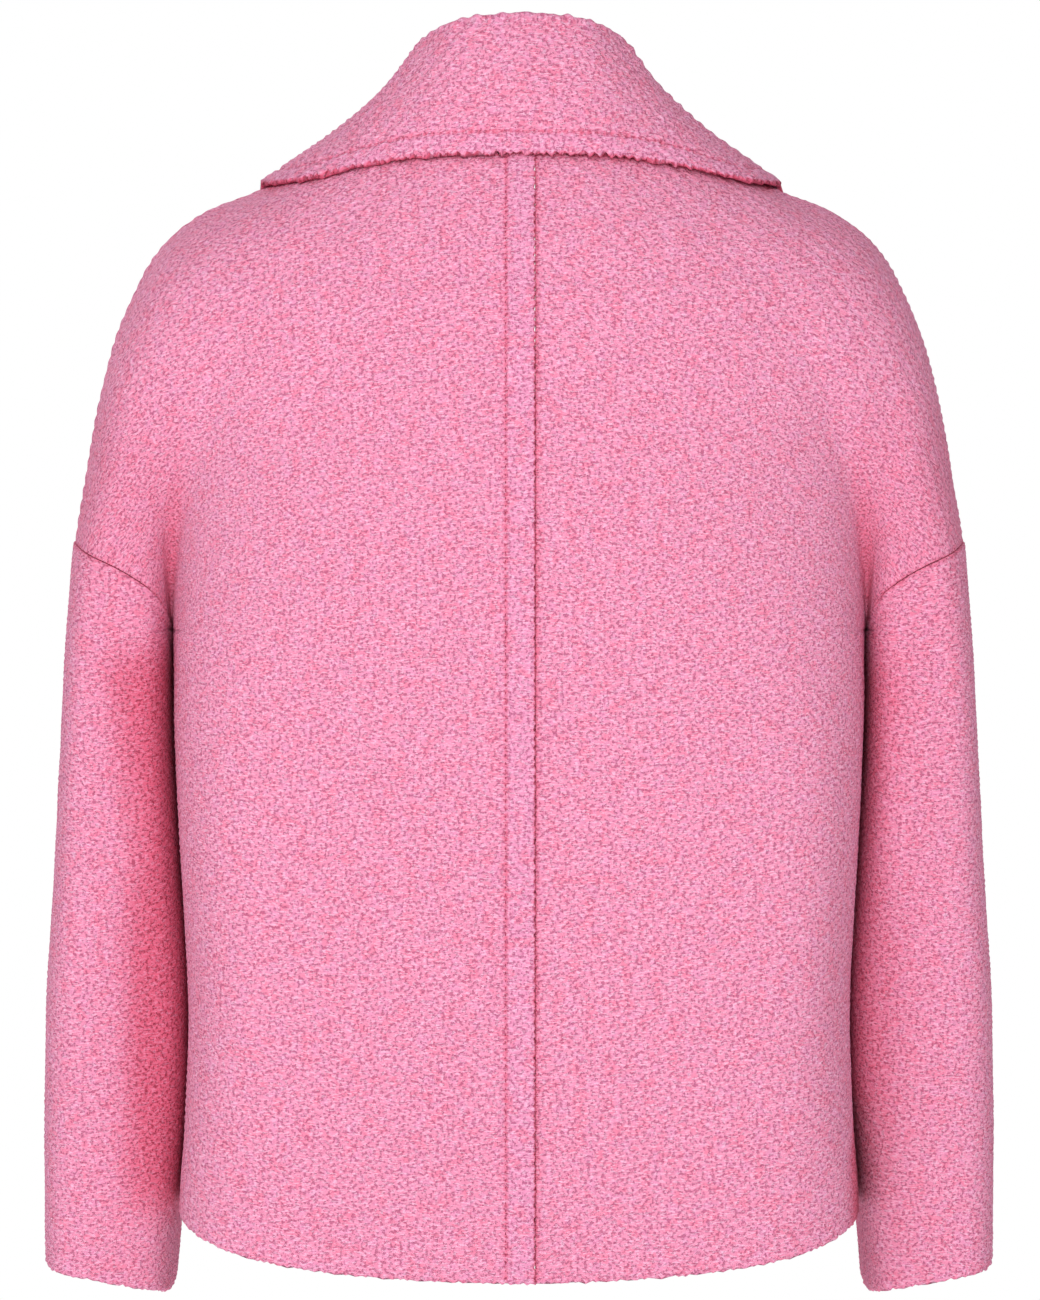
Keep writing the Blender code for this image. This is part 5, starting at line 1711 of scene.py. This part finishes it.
@dataclass(frozen=True)
class ClothFinish:
    """Pink bouclé basket weave: rose floats, pale lavender plies with a painted highlight, raspberry hollows of painted
    shade, crimson painted shade in folds.
    """

    name: str = "pink_basket_weave"
    rose: tuple[float, ...] = (0.830, 0.280, 0.440, 1.0)
    lavender: tuple[float, ...] = (0.790, 0.300, 0.510, 1.0)
    coral: tuple[float, ...] = (0.830, 0.220, 0.350, 1.0)
    float_rose: tuple[float, ...] = (0.880, 0.310, 0.480, 1.0)
    # pale: the ply's colour, with a painted highlight on its top.
    pale: tuple[float, ...] = (0.930, 0.530, 0.720, 1.0)
    # raspberry: painted shade in the weave's hollows.
    raspberry: tuple[float, ...] = (0.420, 0.068, 0.170, 1.0)
    # crimson, garnet and maroon: painted shade and painted shadow, deepening in that order.
    crimson: tuple[float, ...] = (0.700, 0.100, 0.180, 1.0)
    garnet: tuple[float, ...] = (0.300, 0.016, 0.034, 1.0)
    maroon: tuple[float, ...] = (0.160, 0.012, 0.022, 1.0)
    bump: float = 0.0006
    sheen: float = 0.04

    def material(self, pattern: bpy.types.NodeTree) -> bpy.types.Material:
        """Builds the material around the weave group."""
        made = bpy.data.materials.new(self.name)
        made.use_nodes = True
        bench = NodeBench(made.node_tree)
        shader = made.node_tree.nodes["Principled BSDF"]
        weave = bench.add("ShaderNodeGroup", node_tree=pattern)
        bench.tree.links.new(bench.add("ShaderNodeUVMap", uv_map="flat_pattern").outputs[0], weave.inputs["Flat"])
        # The painted shade, as an attribute of the points.
        painted_shade = bench.add("ShaderNodeAttribute", attribute_name="painted_shade").outputs["Fac"]
        cool = bench.maths("MULTIPLY", bench.add("ShaderNodeAttribute", attribute_name="cool").outputs["Fac"], 0.6)
        cool = bench.maths("MAXIMUM", cool, bench.maths("MULTIPLY", weave.outputs["Cool"], 0.55))
        colour = bench.mix(cool, self.rose, self.lavender)
        colour = bench.mix(bench.maths("MULTIPLY", weave.outputs["Warm"], 0.8), colour, self.coral)
        colour = bench.mix(bench.maths("MULTIPLY", weave.outputs["Float"], 0.7), colour, self.float_rose)
        # Painted shade: the colour turns crimson where shade falls.
        folded = bench.smooth(painted_shade, 0.0, 1.0, 0.0, 0.85)
        colour = bench.mix(folded, colour, self.crimson)
        # The weave's dark hollows: painted shade in its recesses, deeper garnet inside painted shade.
        hollow = bench.maths("MULTIPLY", weave.outputs["Hollow"], bench.smooth(painted_shade, 0.0, 1.0, 0.80, 0.95))
        colour = bench.mix(hollow, colour, bench.mix(folded, self.raspberry, self.garnet))
        # The light dashes: the pale ply's colour and a painted highlight on the yarn's tops, rose inside painted shade.
        dash = bench.maths("MULTIPLY", weave.outputs["Dash"], bench.smooth(painted_shade, 0.0, 1.0, 0.80, 0.60))
        colour = bench.mix(dash, colour, bench.mix(folded, self.pale, self.rose))
        # Painted shadow: past 1 the colour goes on to maroon, in the darkest shadow lines.
        colour = bench.mix(bench.smooth(painted_shade, 1.0, 2.0, 0.0, 0.9), colour, self.maroon)
        bench.tree.links.new(colour, shader.inputs["Base Color"])
        bump = bench.add("ShaderNodeBump", {"Height": weave.outputs["Height"], "Distance": self.bump, "Strength": 0.9})
        bench.tree.links.new(bump.outputs[0], shader.inputs["Normal"])
        shader.inputs["Roughness"].default_value = 0.95
        shader.inputs["Specular IOR Level"].default_value = 0.10
        shader.inputs["Sheen Weight"].default_value = self.sheen
        shader.inputs["Sheen Roughness"].default_value = 0.55
        shader.inputs["Sheen Tint"].default_value = (1.0, 0.72, 0.86, 1.0)
        return made


@dataclass(frozen=True)
class PlainFinish:
    """A finish in one colour family, clouded a little by noise on Object coordinates."""

    name: str
    colour: tuple[float, ...]
    darker: tuple[float, ...]
    roughness: float
    grain: float
    bump: float = 0.0002

    def material(self) -> bpy.types.Material:
        """Builds the material."""
        made = bpy.data.materials.new(self.name)
        made.use_nodes = True
        bench = NodeBench(made.node_tree)
        shader = made.node_tree.nodes["Principled BSDF"]
        place = bench.add("ShaderNodeTexCoord").outputs["Object"]
        cloud = bench.noise(place, self.grain, 3.0, "3D").outputs[0]
        colour = bench.mix(bench.smooth(cloud, 0.35, 0.65), self.darker, self.colour)
        bench.tree.links.new(colour, shader.inputs["Base Color"])
        bump = bench.add("ShaderNodeBump", {"Height": cloud, "Distance": self.bump, "Strength": 0.5})
        bench.tree.links.new(bump.outputs[0], shader.inputs["Normal"])
        shader.inputs["Roughness"].default_value = self.roughness
        return made


# ---------------------------------------------------------------- studio


@dataclass
class Studio:
    """Camera at the photograph's place, a pale floor, and soft light from all round."""

    camera_at: tuple[float, float, float] = (-0.00055, 3.0, -0.15)
    pitch_rise: float = 0.13377
    lens: float = 152.16
    floor_z: float = -1.45
    floor_half: float = 4.2
    world_strength: float = 0.46
    key_power: float = 31.0
    weak_side: float = 0.25
    frontal_power: float = 52.0

    def build(self) -> None:
        """Builds camera, floor and lights."""
        self.camera()
        self.floor()
        self.lights()

    def camera(self) -> None:
        """The photograph's camera, level with the chest and looking slightly down at the back."""
        data = bpy.data.cameras.new("photo_camera")
        data.sensor_width, data.lens, data.clip_end = 36.0, self.lens, 100.0
        camera = bpy.data.objects.new("photo_camera", data)
        camera.location = self.camera_at
        look = Vector((0.0, -self.camera_at[1], -self.pitch_rise))
        camera.rotation_mode = "QUATERNION"
        camera.rotation_quaternion = look.to_track_quat("-Z", "Y")
        bpy.context.scene.collection.objects.link(camera)
        bpy.context.scene.camera = camera

    def floor(self) -> None:
        """A pale floor far below, where a wearer would stand."""
        h, z = self.floor_half, self.floor_z
        mesh = bpy.data.meshes.new("floor")
        mesh.from_pydata([(-h, -h, z), (h, -h, z), (h, h, z), (-h, h, z)], [], [(0, 1, 2, 3)])
        finish = bpy.data.materials.new("pale_floor")
        finish.use_nodes = True
        finish.node_tree.nodes["Principled BSDF"].inputs["Base Color"].default_value = (0.92, 0.92, 0.92, 1.0)
        finish.node_tree.nodes["Principled BSDF"].inputs["Roughness"].default_value = 0.8
        mesh.materials.append(finish)
        floor = bpy.data.objects.new("floor", mesh)
        bpy.context.scene.collection.objects.link(floor)

    def light(self, name: str, at: tuple[float, float, float], size: float, power: float) -> None:
        """A square area light that faces the coat's middle."""
        data = bpy.data.lights.new(name, "AREA")
        data.size, data.energy = size, power
        lamp = bpy.data.objects.new(name, data)
        lamp.location = at
        lamp.rotation_mode = "QUATERNION"
        lamp.rotation_quaternion = (Vector((0.0, -0.07, -0.3)) - Vector(at)).to_track_quat("-Z", "Y")
        bpy.context.scene.collection.objects.link(lamp)

    def lights(self) -> None:
        """Even daylight before a white ground, and broad lights on the camera's and the other side."""
        world = bpy.data.worlds.new("studio")
        world.use_nodes = True
        bench = NodeBench(world.node_tree)
        seen = bench.add("ShaderNodeLightPath").outputs["Is Camera Ray"]
        strength = bench.maths("MAXIMUM", seen, self.world_strength)
        sky = world.node_tree.nodes["Background"]
        sky.inputs["Color"].default_value = (1.0, 1.0, 1.0, 1.0)
        world.node_tree.links.new(strength, sky.inputs["Strength"])
        bpy.context.scene.world = world
        for word, way in (("back", 1.0), ("front", -1.0)):
            self.light(f"{word}_left", (1.3, 2.7 * way, 0.75), 1.7, self.key_power)
            self.light(f"{word}_right", (-1.3, 2.7 * way, 0.65), 1.7, self.key_power * self.weak_side)
            self.light(f"{word}_middle", (0.0, 3.7 * way, 0.55), 1.2, self.frontal_power)


def main() -> None:
    """Builds the coat piece by piece, in the order in which a maker would lay it out."""
    logging.basicConfig(level=logging.INFO, format="%(name)s %(message)s")
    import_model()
    weave = BasketWeave()
    cloth = ClothFinish().material(WeavePattern(weave).group())
    # Both threads are darker than the cloth: their own colour and painted shade of the stitch dimples they sink into.
    thread = PlainFinish("rose_thread", (0.44, 0.055, 0.130, 1.0), (0.30, 0.030, 0.080, 1.0), 0.8, 0.002).material()
    soft = PlainFinish("coral_thread", (0.62, 0.120, 0.230, 1.0), (0.42, 0.060, 0.130, 1.0), 0.8, 0.004).material()
    button = PlainFinish("rose_button", (0.62, 0.15, 0.28, 1.0), (0.50, 0.11, 0.22, 1.0), 0.32, 0.006).material()
    room = Workroom(CoatForm(), weave, cloth, thread, soft)
    Backs(room).build()
    Fronts(room).build()
    Sleeves(room).build()
    Collar(room).build()
    Lapels(room).build()
    Buttons(room, button).build()
    Studio().build()
    bpy.context.scene.view_settings.view_transform = "Standard"


if __name__ == "__main__":
    main()
